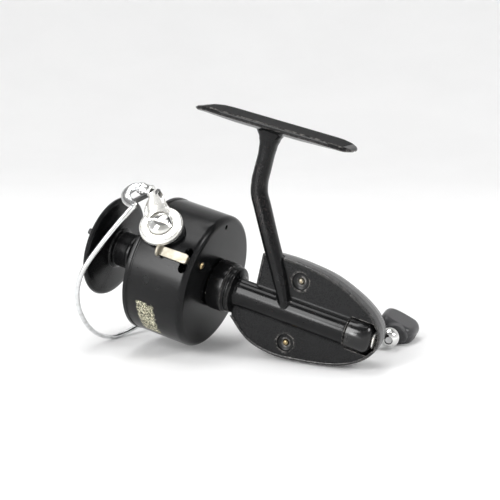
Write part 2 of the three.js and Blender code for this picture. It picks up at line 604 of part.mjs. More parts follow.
// ---- crank train --------------------------------------------------------
const GEAR_R = (GEAR_TEETH * MODULE) / 2;
const TOOTH_TIP = -(PINION_ROOT + 0.25); // teeth stand towards the spool axis, +Y
const TOOTH_ROOT = -(PINION_TIP + 0.25);
{
  let body = turned("y", [
    [-12.4, 3.1], [-12.4, 4.6], [-8.2, 4.6], [-8.2, 12], [TOOTH_ROOT, 12.2], [TOOTH_ROOT, 10.3],
    [-6.6, 9.6], [-6.6, 3.1],
  ], 48);
  // crown teeth, one pointing at the gap between two pinion teeth (+X of the crank axis)
  for (let i = 0; i < GEAR_TEETH; i++) {
    const tooth = new THREE.Shape([
      new THREE.Vector2(-0.55, TOOTH_ROOT - 0.4), new THREE.Vector2(0.55, TOOTH_ROOT - 0.4),
      new THREE.Vector2(0.42, TOOTH_ROOT), new THREE.Vector2(0.17, TOOTH_TIP),
      new THREE.Vector2(-0.17, TOOTH_TIP), new THREE.Vector2(-0.42, TOOTH_ROOT),
    ]);
    const g = new THREE.ExtrudeGeometry(tooth, { depth: 1.3, bevelEnabled: false, steps: 1 });
    g.rotateY(Math.PI / 2); // width along -Z, depth along +X
    g.translate(10.8, 0, 0);
    g.rotateY((2 * Math.PI * i) / GEAR_TEETH);
    body = body.add(solid(g));
  }
  piece("drive_gear", body, brass, reel).position.set(CRANK_X, 0, 0);
}
const PIN_X = STROKE / 2;
const drivePin = piece("drive_pin", rod("y", -6.3, TOOTH_TIP - 0.05, 1.0, 16), steel, reel);
drivePin.position.set(CRANK_X + PIN_X, 0, 0);
piece("ratchet_wheel", (() => {
  const points = [];
  for (let i = 0; i < 14; i++) {
    const a = (2 * Math.PI * i) / 14;
    points.push([7.6 * Math.cos(a), 7.6 * Math.sin(a)], [6.5 * Math.cos(a + 0.12), 6.5 * Math.sin(a + 0.12)]);
  }
  return slabY(points, -10.4, -8.6).subtract(rod("y", -20, 0, 4.9, 28));
})(), steel, reel).position.set(CRANK_X, 0, 0);
piece("crank_shaft", turned("y", [
  [-24.3, 0], [-24.3, 2.7], [-21.6, 3.0], [SHELL_Y - 3.6, 3.0], [-12.8, 3.0], [-12.8, 2.8],
  [-4.9, 2.8], [-4.9, 0],
], 28), steel, crank);
{
  // hub, arm and ball of the handle are one forging
  let body = turned("y", [[-19, 0], [-19, 5.4], [-19.6, 5.8], [-23.2, 5.8], [-24, 5.2], [-24, 0]], 28);
  const arm = swept(superSection(6.4, 3.4, 12, 2.4), [
    [3.6, -21.5, 0], [9, -23.0, 0], [18, -26.9, 0], [27, -30.8, 0], [33.4, -32.9, 0],
  ], 9);
  body = body.add(arm);
  const ball = new THREE.SphereGeometry(BALL_R, 18, 12);
  ball.translate(CRANK_LEN, -21 - CRANK_RISE, 0);
  body = body.add(solid(ball));
  body = body.subtract(rod("y", -30, -10, 3.3, 28));
  const bore = turnedBy(rod("y", -12, 12, 1.7, 18), 0, 0, -KNOB_TILT);
  body = body.subtract(moved(bore, CRANK_LEN, -21 - CRANK_RISE, 0));
  piece("crank_arm", body, chrome, crank);
}
piece("crank_screw", turned("y", [[-24.65, 0], [-24.65, 3.7], [-25.4, 3.7], [-26.1, 3.0], [-26.3, 0]], 28)
  .subtract(block(-6, 6, -27, -25.7, -0.4, 0.4)), chrome, crank);

const knob = new THREE.Group(); // local -Y runs out along the knob's spindle
knob.position.set(CRANK_LEN, -21 - CRANK_RISE, 0);
knob.rotation.z = -rad(KNOB_TILT);
crank.add(knob);
piece("knob_spindle", turned("y", [
  [3.3, 0], [3.3, 1.4], [-22.9, 1.4], [-22.9, 2.5], [-23.7, 2.5], [-23.7, 0],
], 20).subtract(block(-3, 3, -25, -23.3, -0.3, 0.3)), steel, knob);
{
  // flat paddle on a round neck; wide along X
  const neck = turned("y", [[-4.9, 0], [-4.9, 3.6], [-5.4, 4.0], [-9.5, 4.0], [-12, 3.2], [-12, 0]], 28);
  const face = new THREE.Shape([
    [-3.4, -7.4], [3.4, -7.4], [4.4, -9.4], [6.8, -13.4], [8.3, -17.6], [8.2, -21], [6, -23.6], [0, -24.4],
    [-6, -23.6], [-8.2, -21], [-8.3, -17.6], [-6.8, -13.4], [-4.4, -9.4],
  ].map(([x, y]) => new THREE.Vector2(x, y)));
  const g = new THREE.ExtrudeGeometry(face, {
    depth: 2.2, bevelEnabled: true, bevelThickness: 2.2, bevelSize: 2.2, bevelOffset: -2.2,
    bevelSegments: 4, steps: 1,
  });
  g.translate(0, 0, -1.1);
  let body = solid(g).add(neck);
  body = body.subtract(rod("y", -30, 10, 1.7, 20));
  body = body.subtract(rod("y", -30, -22.6, 2.9, 24));
  piece("handle_knob", body, blackPlastic, knob);
}

export default part;
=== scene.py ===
"""Looks of an open-face spinning reel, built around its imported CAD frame.

Shapes are drawn in millimetres in the reel's own frame: X runs forward along the spool axis, Z up to
the foot and Y out of the side that carries the shaft tube. Each mesh is brought into the row frame,
in metres, as it is made, so every object sits at the row's origin.
"""
import math

import bmesh
import bpy
from mathutils import Matrix, Vector


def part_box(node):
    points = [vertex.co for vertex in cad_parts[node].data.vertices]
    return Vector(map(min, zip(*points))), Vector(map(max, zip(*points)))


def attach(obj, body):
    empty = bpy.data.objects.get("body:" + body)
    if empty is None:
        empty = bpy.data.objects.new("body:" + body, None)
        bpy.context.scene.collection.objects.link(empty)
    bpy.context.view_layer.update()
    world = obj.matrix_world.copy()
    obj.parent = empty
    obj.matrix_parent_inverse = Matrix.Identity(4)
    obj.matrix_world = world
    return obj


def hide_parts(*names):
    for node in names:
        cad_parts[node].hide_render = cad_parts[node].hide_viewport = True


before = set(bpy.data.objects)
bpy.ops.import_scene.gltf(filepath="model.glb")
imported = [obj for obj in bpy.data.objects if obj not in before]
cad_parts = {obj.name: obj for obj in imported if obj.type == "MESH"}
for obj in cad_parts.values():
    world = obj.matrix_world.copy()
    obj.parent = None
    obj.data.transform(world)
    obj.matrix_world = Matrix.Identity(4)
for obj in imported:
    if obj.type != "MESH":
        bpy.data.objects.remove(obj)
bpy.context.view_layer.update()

# ---- driving sizes, millimetres and degrees ------------------------------
# PAD_N is the distance of the bail pads' outer faces from the spool axis.
GAP = 0.3
ROTOR_R = 28.5
ROTOR_FRONT = 22.75
ROTOR_REAR = -4.3
BAIL_ANGLE = 46
BAIL_X = 14
PAD_N = 29.6
LEVER_ANGLE = -17
RIVET_X = 11.3
SPOOL_R = 21.74
ARBOR_R = 7.5
SHAFT_R = 2
CRANK_X = -37
CRANK_ANGLE = 165.7
BALL_AT = (35.9, -33.5)
BALL_R = 4.15
KNOB_TILT = 13.9
PLATE_Y = 2
SHELL_Y = -15
TUBE_R = 6
NECK_X = -14.3
NOTCH_X = -22.8
FOOT_Z = 70.5
SCREWS = ((-40.8, 13.2), (-40.2, -13.3))
MM = 0.001

# ---- frames: millimetres of each moving group to metres of the row -------
shaft_low, shaft_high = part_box("main_shaft")
AXIS_Z = (shaft_low.z + shaft_high.z) / 2
REEL_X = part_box("rotor_cup")[1].x - ROTOR_FRONT * MM


def turn(degrees, axis):
    return Matrix.Rotation(math.radians(degrees), 4, axis)


def shift(x=0, y=0, z=0):
    return Matrix.Translation((x, y, z))


REEL = shift(REEL_X, 0, AXIS_Z) @ Matrix.Scale(MM, 4)
ROTOR = REEL @ turn(BAIL_ANGLE, "X")
BAIL = ROTOR @ shift(BAIL_X)
LEVER = ROTOR @ turn(LEVER_ANGLE, "X")
CRANK = REEL @ shift(CRANK_X) @ turn(CRANK_ANGLE, "Y")
KNOB = CRANK @ shift(*BALL_AT) @ turn(-KNOB_TILT, "Z")


# ---- mesh helpers --------------------------------------------------------
def rounded(points, radius, steps=4, closed=False):
    """A polyline with its corners turned into arcs; radius is one number or one for each point."""
    out = []
    count = len(points)
    for i, p in enumerate(points):
        r = radius[i] if isinstance(radius, (list, tuple)) else radius
        if r <= 0 or (not closed and i in (0, count - 1)):
            out.append(tuple(p))
            continue
        here = Vector(p)
        before = Vector(points[i - 1]) - here
        after = Vector(points[(i + 1) % count]) - here
        angle = before.angle(after, math.pi)
        if angle > math.radians(176):
            out.append(tuple(p))
            continue
        reach = min(r / math.tan(angle / 2), 0.48 * before.length, 0.48 * after.length)
        a = here + before.normalized() * reach
        b = here + after.normalized() * reach
        for k in range(steps + 1):
            t = k / steps
            out.append(tuple(a * (1 - t) ** 2 + here * (2 * t * (1 - t)) + b * t ** 2))
    return out


def curve_through(points, samples, closed=False):
    """Centripetal Catmull-Rom curve through the points, evenly spaced."""
    steps = 24
    p = [Vector(q) for q in points]
    count = len(p)
    spans = count if closed else count - 1
    dense = []
    for i in range(spans):
        if closed:
            a, b, c, d = (p[(i + k) % count] for k in (-1, 0, 1, 2))
        else:
            b, c = p[i], p[i + 1]
            a = p[i - 1] if i else b * 2 - c
            d = p[i + 2] if i + 2 < count else c * 2 - b
        t0 = 0.0
        t1 = t0 + max((b - a).length, 1e-6) ** 0.5
        t2 = t1 + max((c - b).length, 1e-6) ** 0.5
        t3 = t2 + max((d - c).length, 1e-6) ** 0.5
        for k in range(steps):
            t = t1 + (t2 - t1) * k / steps
            ab = a * ((t1 - t) / (t1 - t0)) + b * ((t - t0) / (t1 - t0))
            bc = b * ((t2 - t) / (t2 - t1)) + c * ((t - t1) / (t2 - t1))
            cd = c * ((t3 - t) / (t3 - t2)) + d * ((t - t2) / (t3 - t2))
            abc = ab * ((t2 - t) / (t2 - t0)) + bc * ((t - t0) / (t2 - t0))
            bcd = bc * ((t3 - t) / (t3 - t1)) + cd * ((t - t1) / (t3 - t1))
            dense.append(abc * ((t2 - t) / (t2 - t1)) + bcd * ((t - t1) / (t2 - t1)))
    dense.append(p[0].copy() if closed else p[-1].copy())
    lengths = [0.0]
    for a, b in zip(dense, dense[1:]):
        lengths.append(lengths[-1] + (b - a).length)
    wanted = samples if closed else samples - 1
    out = []
    j = 0
    for k in range(samples):
        s = lengths[-1] * k / wanted
        while j < len(lengths) - 2 and lengths[j + 1] < s:
            j += 1
        span = lengths[j + 1] - lengths[j] or 1
        out.append(dense[j].lerp(dense[j + 1], (s - lengths[j]) / span))
    return out


def skin(bm, rings, closed=True, caps=False):
    """Faces between rings of vertices; a ring of one vertex is a pole."""
    pairs = list(zip(rings, rings[1:]))
    if closed:
        pairs.append((rings[-1], rings[0]))
    for a, b in pairs:
        n = max(len(a), len(b))
        if n == 1:
            continue
        for k in range(n):
            m = (k + 1) % n
            if len(a) == 1:
                bm.faces.new((a[0], b[m], b[k]))
            elif len(b) == 1:
                bm.faces.new((a[k], a[m], b[0]))
            else:
                bm.faces.new((a[k], a[m], b[m], b[k]))
    if caps:
        for ring in (rings[0], rings[-1]):
            if len(ring) > 2:
                bm.faces.new(ring)


def to_object(name, bm):
    """Turns a bmesh into an object of the scene, with its normals facing out."""
    bmesh.ops.recalc_face_normals(bm, faces=bm.faces)
    mesh = bpy.data.meshes.new(name)
    bm.to_mesh(mesh)
    bm.free()
    obj = bpy.data.objects.new(name, mesh)
    bpy.context.scene.collection.objects.link(obj)
    return obj


def lathe(profile, axis="x", steps=128, at=(0, 0, 0), tilt=None):
    """Solid of revolution of a profile of (along, radius); open profiles start and end on the axis."""
    bm = bmesh.new()
    rings = []
    for t, r in profile:
        if r < 1e-6:
            spots = [(t, 0, 0)]
        else:
            turns = [2 * math.pi * k / steps for k in range(steps)]
            spots = [(t, r * math.cos(a), r * math.sin(a)) for a in turns]
        order = {"x": (0, 1, 2), "y": (2, 0, 1), "z": (1, 2, 0)}[axis]
        rings.append([bm.verts.new([s[k] for k in order]) for s in spots])
    skin(bm, rings, closed=profile[0][1] > 1e-6)
    where = shift(*at) @ (tilt or Matrix())
    bmesh.ops.transform(bm, matrix=where, verts=bm.verts)
    return to_object("turned", bm)


def rod(axis, a, b, r, steps=48, at=(0, 0, 0), tilt=None):
    """A plain cylinder from a to b along an axis."""
    return lathe([(a, 0), (a, r), (b, r), (b, 0)], axis, steps, at, tilt)


def block(x0, x1, y0, y1, z0, z1, tilt=None):
    """A box between two corners, turned by tilt afterwards."""
    bm = bmesh.new()
    size = Matrix.Diagonal((x1 - x0, y1 - y0, z1 - z0, 1))
    where = (tilt or Matrix()) @ shift((x0 + x1) / 2, (y0 + y1) / 2, (z0 + z1) / 2) @ size
    bmesh.ops.create_cube(bm, size=1, matrix=where)
    return to_object("block", bm)


def slab(outline, low, high, axis="y", tilt=None, rims=None):
    """A flat outline given thickness. rims lists (inset, position) rings for a rounded edge."""
    order = {"y": (0, 2, 1), "z": (0, 1, 2), "x": (2, 0, 1)}[axis]
    bm = bmesh.new()
    points = [Vector(p[:2]) for p in outline]
    count = len(points)
    area = sum(a.x * b.y - b.x * a.y for a, b in zip(points, points[1:] + points[:1]))
    rings = []
    for inset, position in rims or ((0, low), (0, high)):
        ring = []
        for i, p in enumerate(points):
            t = (points[(i + 1) % count] - points[i - 1]).normalized()
            q = p + Vector((-t.y, t.x)) * inset * (1 if area > 0 else -1)
            spot = (q.x, q.y, position)
            ring.append(bm.verts.new([spot[k] for k in order]))
        rings.append(ring)
    skin(bm, rings, closed=False, caps=True)
    if tilt:
        bmesh.ops.transform(bm, matrix=tilt, verts=bm.verts)
    return to_object("slab", bm)


def bar(points, half, samples=64, sides=24, power=2.0, across=None):
    """A bar along a curve, with a superellipse of the given power as its section.

    half(s) gives its two half widths at s from 0 to 1. across is the direction of the first of
    them, or None to carry it along the curve without twist.
    """
    path = curve_through(points, samples)
    bm = bmesh.new()
    rings = []
    side = None
    for i, p in enumerate(path):
        before = path[max(i - 1, 0)]
        after = path[min(i + 1, len(path) - 1)]
        t = (after - before).normalized()
        if across is not None:
            side = Vector(across)
        elif side is None:
            side = t.orthogonal()
        side = (side - t * side.dot(t)).normalized()
        up = t.cross(side)
        a, b = half(i / (len(path) - 1))
        ring = []
        for k in range(sides):
            q = 2 * math.pi * k / sides
            c = math.copysign(abs(math.cos(q)) ** (2 / power), math.cos(q))
            s = math.copysign(abs(math.sin(q)) ** (2 / power), math.sin(q))
            ring.append(bm.verts.new(p + side * (a * c) + up * (b * s)))
        rings.append(ring)
    skin(bm, rings, closed=False, caps=True)
    return to_object("bar", bm)


def ball(centre, r, segments=32):
    angles = [math.pi * k / segments for k in range(1, segments)]
    arc = [(r, 0)] + [(r * math.cos(a), r * math.sin(a)) for a in angles] + [(-r, 0)]
    return lathe(arc, "y", 2 * segments, centre)


def settle(obj):
    """Applies an object's modifiers to its mesh."""
    graph = bpy.context.evaluated_depsgraph_get()
    mesh = bpy.data.meshes.new_from_object(obj.evaluated_get(graph))
    obj.modifiers.clear()
    obj.data = mesh
    return obj


def combine(obj, others, operation):
    """Boolean of an object with others, which are used up."""
    for other in others:
        mod = obj.modifiers.new("join", "BOOLEAN")
        mod.object = other
        mod.operation = operation
        mod.solver = "EXACT"
    settle(obj)
    for other in others:
        bpy.data.objects.remove(other)
    return obj


def cut(obj, *others):
    return combine(obj, others, "DIFFERENCE")


def join(obj, *others):
    return combine(obj, others, "UNION")


def cast(parts, voxel, smoothing):
    """Closed bodies melted into one skin with soft inner corners, as a casting has."""
    bm = bmesh.new()
    for part in parts:
        bm.from_mesh(part.data)
        bpy.data.objects.remove(part)
    casting = to_object("cast", bm)
    melt = casting.modifiers.new("melt", "REMESH")
    melt.mode = "VOXEL"
    melt.voxel_size = voxel
    soften = casting.modifiers.new("soften", "SMOOTH")
    soften.factor = 0.5
    soften.iterations = smoothing
    return settle(casting)


def place(obj, name, body, where, material, nodes=(), sharp=38):
    """Brings a finished mesh to the row frame, shades it, and ties it to its CAD body.

    Edges that bend by more than sharp degrees stay hard.
    """
    obj.name = name
    obj.data.name = name
    obj.data.transform(where)
    bm = bmesh.new()
    bm.from_mesh(obj.data)
    bmesh.ops.remove_doubles(bm, verts=bm.verts, dist=1e-7)
    bmesh.ops.recalc_face_normals(bm, faces=bm.faces)
    limit = math.radians(sharp)
    for edge in bm.edges:
        edge.smooth = not (len(edge.link_faces) == 2 and edge.calc_face_angle() > limit)
    for face in bm.faces:
        face.smooth = True
    bm.to_mesh(obj.data)
    bm.free()
    obj.data.materials.clear()
    obj.data.materials.append(material)
    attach(obj, body)
    if nodes:
        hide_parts(*nodes)


# ---- material helpers ----------------------------------------------------
class Surface:
    """A procedural material whose textures are laid out in object space, in millimetres."""

    def __init__(self, name):
        self.material = bpy.data.materials.new(name)
        self.material.use_nodes = True
        self.nodes = self.material.node_tree.nodes
        self.links = self.material.node_tree.links
        self.shader = self.nodes["Principled BSDF"]
        coords = self.nodes.new("ShaderNodeTexCoord")
        scale = self.nodes.new("ShaderNodeVectorMath")
        scale.operation = "SCALE"
        scale.inputs["Scale"].default_value = 1 / MM
        self.links.new(coords.outputs["Object"], scale.inputs[0])
        self.mm = scale.outputs[0]

    def feed(self, socket, value):
        """Links another node's output to a socket, or sets the socket to a value."""
        if isinstance(value, bpy.types.NodeSocket):
            self.links.new(value, socket)
        elif isinstance(value, (tuple, list)) and len(value) == 3 and socket.type == "RGBA":
            socket.default_value = (*value, 1)
        else:
            socket.default_value = value

    def set(self, **sockets):
        """Feeds the shader's sockets, named with _ for each space."""
        for name, value in sockets.items():
            self.feed(self.shader.inputs[name.replace("_", " ")], value)

    def math(self, operation, a, b=0.0, clamp=False):
        node = self.nodes.new("ShaderNodeMath")
        node.operation = operation
        node.use_clamp = clamp
        self.feed(node.inputs[0], a)
        self.feed(node.inputs[1], b)
        return node.outputs[0]

    def times(self, a, b):
        return self.math("MULTIPLY", a, b)

    def plus(self, a, b, clamp=False):
        return self.math("ADD", a, b, clamp)

    def minus(self, a, b):
        return self.math("SUBTRACT", a, b)

    def stretched(self, x=1, y=1, z=1, turn_z=0):
        """Coordinates for a texture that is drawn out along the axes with a small scale."""
        node = self.nodes.new("ShaderNodeMapping")
        node.inputs["Scale"].default_value = (x, y, z)
        node.inputs["Rotation"].default_value = (0, 0, turn_z)
        self.links.new(self.mm, node.inputs["Vector"])
        return node.outputs[0]

    def noise(self, scale, detail=3.0, roughness=0.5, vector=None, distortion=0.0):
        node = self.nodes.new("ShaderNodeTexNoise")
        self.links.new(vector or self.mm, node.inputs["Vector"])
        node.inputs["Scale"].default_value = scale
        node.inputs["Detail"].default_value = detail
        node.inputs["Roughness"].default_value = roughness
        node.inputs["Distortion"].default_value = distortion
        return node.outputs["Fac"]

    def spots(self, scale, size, share):
        """Small round specks: 1 inside a speck. share is the part of the cells that has one."""
        node = self.nodes.new("ShaderNodeTexVoronoi")
        node.inputs["Scale"].default_value = scale
        self.links.new(self.mm, node.inputs["Vector"])
        near = self.ramp(node.outputs["Distance"], (0.0, 1.0), (size, 0.0))
        pick = self.nodes.new("ShaderNodeSeparateColor")
        self.links.new(node.outputs["Color"], pick.inputs[0])
        return self.times(near, self.math("LESS_THAN", pick.outputs[0], share))

    def ramp(self, value, *stops):
        """Piecewise linear map of a value; stops are (position, result)."""
        node = self.nodes.new("ShaderNodeValToRGB")
        elements = node.color_ramp.elements
        while len(elements) < len(stops):
            elements.new(0.5)
        for element, (position, result) in zip(elements, stops):
            element.position = position
            element.color = (result, result, result, 1)
        self.feed(node.inputs[0], value)
        return node.outputs[0]

    def between(self, value, low, high):
        """0 at low, 1 at high, held outside."""
        node = self.nodes.new("ShaderNodeMapRange")
        node.inputs["From Min"].default_value = low
        node.inputs["From Max"].default_value = high
        self.feed(node.inputs["Value"], value)
        return node.outputs["Result"]

    def mix(self, factor, a, b):
        """Mix of two colours. The node's colour sockets are its inputs 6 and 7 and output 2."""
        node = self.nodes.new("ShaderNodeMix")
        node.data_type = "RGBA"
        self.feed(node.inputs["Factor"], factor)
        self.feed(node.inputs[6], a)
        self.feed(node.inputs[7], b)
        return node.outputs[2]

    def blend(self, factor, a, b):
        """Mix of two numbers. The node's number sockets are its inputs 2 and 3 and output 0."""
        node = self.nodes.new("ShaderNodeMix")
        self.feed(node.inputs["Factor"], factor)
        self.feed(node.inputs[2], a)
        self.feed(node.inputs[3], b)
        return node.outputs[0]

    def bump(self, height, distance, strength):
        """Bump on the shader's normal; distance is in millimetres."""
        node = self.nodes.new("ShaderNodeBump")
        node.inputs["Distance"].default_value = distance * MM
        node.inputs["Strength"].default_value = strength
        self.feed(node.inputs["Height"], height)
        self.links.new(node.outputs[0], self.shader.inputs["Normal"])

    def edges(self, low, high):
        """1 on convex edges, from the mesh's curvature."""
        node = self.nodes.new("ShaderNodeNewGeometry")
        return self.between(node.outputs["Pointiness"], low, high)

    def axes(self):
        """The three coordinates of the row frame, in millimetres."""
        node = self.nodes.new("ShaderNodeSeparateXYZ")
        self.links.new(self.mm, node.inputs[0])
        return node.outputs


def plate_finish(s, color, rough, height):
    """The plate's pebbled flat, the rubbed streaks down the stem (which also act as painted glints), and the
    dull top of the foot.
    """
    _, y, z = s.axes()
    flat = s.math("LESS_THAN", y, PLATE_Y + 0.35)
    low = s.math("LESS_THAN", z, AXIS_Z / MM + 23)
    flat = s.times(flat, low)
    pebbles = s.noise(3.1, 3, 0.65)
    height = s.plus(height, s.times(s.times(pebbles, flat), 0.07))
    rough = s.plus(rough, s.times(flat, 0.14), clamp=True)
    above_axis = s.minus(z, AXIS_Z / MM)
    stem = s.times(s.between(above_axis, 26, 34), s.between(above_axis, 60, 48))
    # The stem's reddish streaks are rub marks and also painted highlight, standing in for the glints along
    # the stem.
    rub_and_glint_streaks = s.between(s.noise(0.8, 4, 0.7, s.stretched(2.0, 2.0, 0.3)), 0.54, 0.68)
    rubbed_and_glint = s.times(s.times(stem, rub_and_glint_streaks), 0.3)
    color = s.mix(rubbed_and_glint, color, (0.13, 0.095, 0.09))
    foot_top = s.math("GREATER_THAN", z, AXIS_Z / MM + FOOT_Z - 0.6)
    rough = s.plus(rough, s.times(foot_top, 0.6), clamp=True)
    color = s.mix(s.times(flat, 0.6), color, (0.009, 0.0092, 0.0096))
    return color, rough, height


def worn_and_highlit_edges(s, color, wear_and_edge_highlight):
    """Pale rubbed edges, brightened so they also serve as painted highlights along rims and edges, and a few
    small rust spots.
    """
    # The pale edge colour is partly real rubbing and partly painted highlight, standing in for the thin
    # bright lines of light along rims and edges.
    rub_and_highlight = s.times(s.edges(0.515, 0.57), s.between(s.noise(0.6, 4, 0.7), 0.42, 0.6))
    rub_and_highlight = s.times(rub_and_highlight, wear_and_edge_highlight)
    color = s.mix(rub_and_highlight, color, (0.4, 0.38, 0.36))
    return s.mix(s.times(s.spots(0.8, 0.12, 0.1), wear_and_edge_highlight), color, (0.16, 0.07, 0.055))


def worn_label(s, color, rough, height):
    """A ragged patch of gold foil on the rotor's side, with pale and dark blotches across it. It carries no
    print.
    """
    x, y, z = s.axes()
    above_axis = s.minus(z, AXIS_Z / MM)
    around = s.times(s.math("ARCTAN2", above_axis, y), 180 / math.pi)
    along = s.minus(x, REEL_X / MM)
    ragged = s.times(s.minus(s.noise(0.7, 5, 0.75), 0.5), 4.5)
    lean = s.times(s.plus(around, 35), -0.03)
    along = s.plus(s.plus(along, lean), ragged)
    around = s.plus(around, s.times(ragged, 2.0))
    inside = s.times(s.between(along, 7.6, 7.9), s.between(along, 15.6, 15.3))
    inside = s.times(inside, s.between(around, -54.5, -53.5))
    inside = s.times(inside, s.between(around, -17.5, -18.5))
    flakes = s.noise(0.85, 5, 0.75, distortion=1.6)
    left = s.times(inside, s.between(flakes, 0.36, 0.42))
    foil_blotches = s.noise(0.75, 3, 0.6, distortion=3.5)
    foil = s.mix(s.between(s.noise(0.45, 3), 0.4, 0.6), (0.06, 0.057, 0.028), (0.13, 0.12, 0.065))
    foil = s.mix(s.between(foil_blotches, 0.53, 0.57), foil, (0.8, 0.78, 0.6))
    foil = s.mix(s.between(foil_blotches, 0.46, 0.43), foil, (0.012, 0.012, 0.01))
    color = s.mix(left, color, foil)
    rough = s.blend(inside, rough, 0.5)
    height = s.plus(height, s.times(left, 0.35))
    return color, rough, height


def enamel(name, roughness, dust=0.35, wear_and_edge_highlight=0.0, peel=0.02, shine=0.2, label=False, plate=False):
    """Black stoved enamel: orange peel, handling marks, dust specks, and rubbed edges that also carry painted
    edge highlights.
    """
    s = Surface(name)
    cloud = s.noise(0.09, 4, 0.6)
    fine = s.noise(2.2, 3, 0.6)
    marks = s.noise(1.0, 4, 0.7, s.stretched(0.25, 3.2, 0.9, 0.5))
    scuffs = s.between(marks, 0.62, 0.78)
    haze = s.times(s.between(cloud, 0.42, 0.75), dust)
    color = s.mix(haze, BLACK, tuple(c + 0.006 for c in BLACK))
    color = s.mix(s.times(scuffs, 0.4 * dust), color, (0.07, 0.07, 0.072))
    specks = s.plus(s.spots(0.55, 0.07, 0.3), s.spots(1.7, 0.09, 0.12), clamp=True)
    color = s.mix(s.times(specks, 0.75 * dust), color, (0.32, 0.31, 0.29))
    rough = s.blend(haze, roughness, min(roughness + 0.1, 1))
    rough = s.plus(rough, s.times(s.minus(fine, 0.5), 0.12))
    rough = s.plus(rough, s.times(scuffs, 0.12), clamp=True)
    waves = s.times(s.noise(0.9, 2), peel * 4)
    height = s.plus(waves, s.times(fine, peel))
    if plate:
        color, rough, height = plate_finish(s, color, rough, height)
    # Pale edges: rubbed wear together with painted edge highlight.
    if wear_and_edge_highlight:
        color = worn_and_highlit_edges(s, color, wear_and_edge_highlight)
    if label:
        color, rough, height = worn_label(s, color, rough, height)
    s.set(Base_Color=color, Roughness=rough, Metallic=0.0)
    s.shader.inputs["Specular IOR Level"].default_value = shine
    s.bump(height, 0.12, 0.7)
    return s.material


def plating(name, color, shade, roughness, pits, brushed=(1.0, 6.0, 1.0), tarnish=None, metal=1.0):
    """Metal with fine scratches, dull blotches and small pits."""
    s = Surface(name)
    blotch = s.between(s.noise(0.22, 5, 0.65), 0.4, 0.72)
    fine = s.noise(3.0, 3, 0.6)
    lines = s.noise(1.4, 3, 0.6, s.stretched(*brushed))
    pit = s.plus(s.spots(1.5, 0.12, 0.16), s.spots(3.2, 0.1, 0.1), clamp=True)
    tint = s.mix(blotch, color, shade)
    tint = s.mix(s.times(s.between(lines, 0.55, 0.8), 0.25), tint, shade)
    if tarnish:
        stain = s.times(s.between(s.noise(0.35, 5, 0.7), 0.56, 0.7), 0.55)
        tint = s.mix(stain, tint, tarnish)
    tint = s.mix(s.times(pit, pits), tint, (0.06, 0.055, 0.05))
    rough = s.plus(roughness, s.times(blotch, 0.09))
    rough = s.plus(rough, s.times(s.minus(lines, 0.5), 0.16))
    rough = s.plus(rough, s.times(pit, 0.3), clamp=True)
    height = s.plus(s.times(fine, 0.2), s.times(lines, 0.5))
    height = s.minus(height, s.times(pit, 0.6))
    s.set(Base_Color=tint, Roughness=rough, Metallic=metal)
    s.bump(height, 0.02, 0.6)
    return s.material


def moulded(name, tone, roughness):
    """Moulded plastic with faint grain, scuffs and dust."""
    s = Surface(name)
    cloud = s.between(s.noise(0.15, 4, 0.6), 0.4, 0.7)
    grain = s.noise(4.0, 3, 0.6)
    scuff = s.between(s.noise(1.1, 4, 0.7, s.stretched(2.5, 0.4, 1, 0.7)), 0.58, 0.75)
    color = s.mix(cloud, tone, tuple(c * 1.35 for c in tone))
    color = s.mix(s.times(scuff, 0.25), color, (0.13, 0.13, 0.135))
    color = s.mix(s.times(s.spots(0.9, 0.08, 0.25), 0.5), color, (0.3, 0.29, 0.28))
    rough = s.plus(roughness, s.times(s.minus(grain, 0.5), 0.1))
    rough = s.plus(rough, s.times(scuff, 0.12), clamp=True)
    s.set(Base_Color=color, Roughness=rough)
    s.bump(s.plus(grain, s.times(cloud, 2.0)), 0.015, 0.6)
    return s.material


def felt(name):
    """Oiled pressed fibre."""
    s = Surface(name)
    fibres = s.noise(2.2, 5, 0.8, s.stretched(1, 4, 1), 1.2)
    color = s.mix(fibres, (0.16, 0.09, 0.05), (0.42, 0.28, 0.17))
    s.set(Base_Color=color, Roughness=s.between(fibres, -0.4, 1.3))
    s.bump(fibres, 0.1, 0.8)
    return s.material


BLACK = (0.0042, 0.0043, 0.0046)
rotor_enamel = enamel("rotor_enamel", 0.22, dust=0.4, label=True)
body_enamel = enamel("body_enamel", 0.13, wear_and_edge_highlight=0.9, plate=True)
housing_enamel = enamel("housing_enamel", 0.26, wear_and_edge_highlight=0.5, peel=0.03, shine=0.45)
spool_enamel = enamel("spool_enamel", 0.18, dust=0.4)
cap_enamel = enamel("cap_enamel", 0.12, dust=0.3, wear_and_edge_highlight=0.2, shine=0.4)
chrome = plating("chrome_plate", (0.86, 0.86, 0.85), (0.7, 0.7, 0.68), 0.05, pits=0.35)
worn_chrome = plating("worn_chrome", (0.9, 0.9, 0.88), (0.72, 0.7, 0.65), 0.22, pits=0.5,
                      tarnish=(0.6, 0.5, 0.3), metal=0.78)
screw_chrome = plating("screw_chrome", (0.86, 0.86, 0.85), (0.66, 0.65, 0.6), 0.06, pits=0.4)
wire_chrome = plating("wire_chrome", (0.8, 0.81, 0.82), (0.55, 0.55, 0.54), 0.12, pits=0.4)
nickel = plating("nickel_plate", (0.38, 0.355, 0.3), (0.25, 0.23, 0.18), 0.42, pits=0.4,
                 tarnish=(0.36, 0.27, 0.13))
brass = plating("aged_brass", (0.46, 0.36, 0.2), (0.26, 0.19, 0.1), 0.32, pits=0.5)
steel = plating("turned_steel", (0.6, 0.6, 0.6), (0.42, 0.42, 0.42), 0.2, pits=0.3, brushed=(7.0, 1.0, 1.0))
dark_steel = plating("oiled_steel", (0.1, 0.1, 0.1), (0.05, 0.05, 0.05), 0.34, pits=0.4)
grip = moulded("grip_plastic", (0.022, 0.022, 0.024), 0.3)
knob_plastic = moulded("knob_plastic", (0.02, 0.02, 0.021), 0.34)
washer_felt = felt("washer_felt")


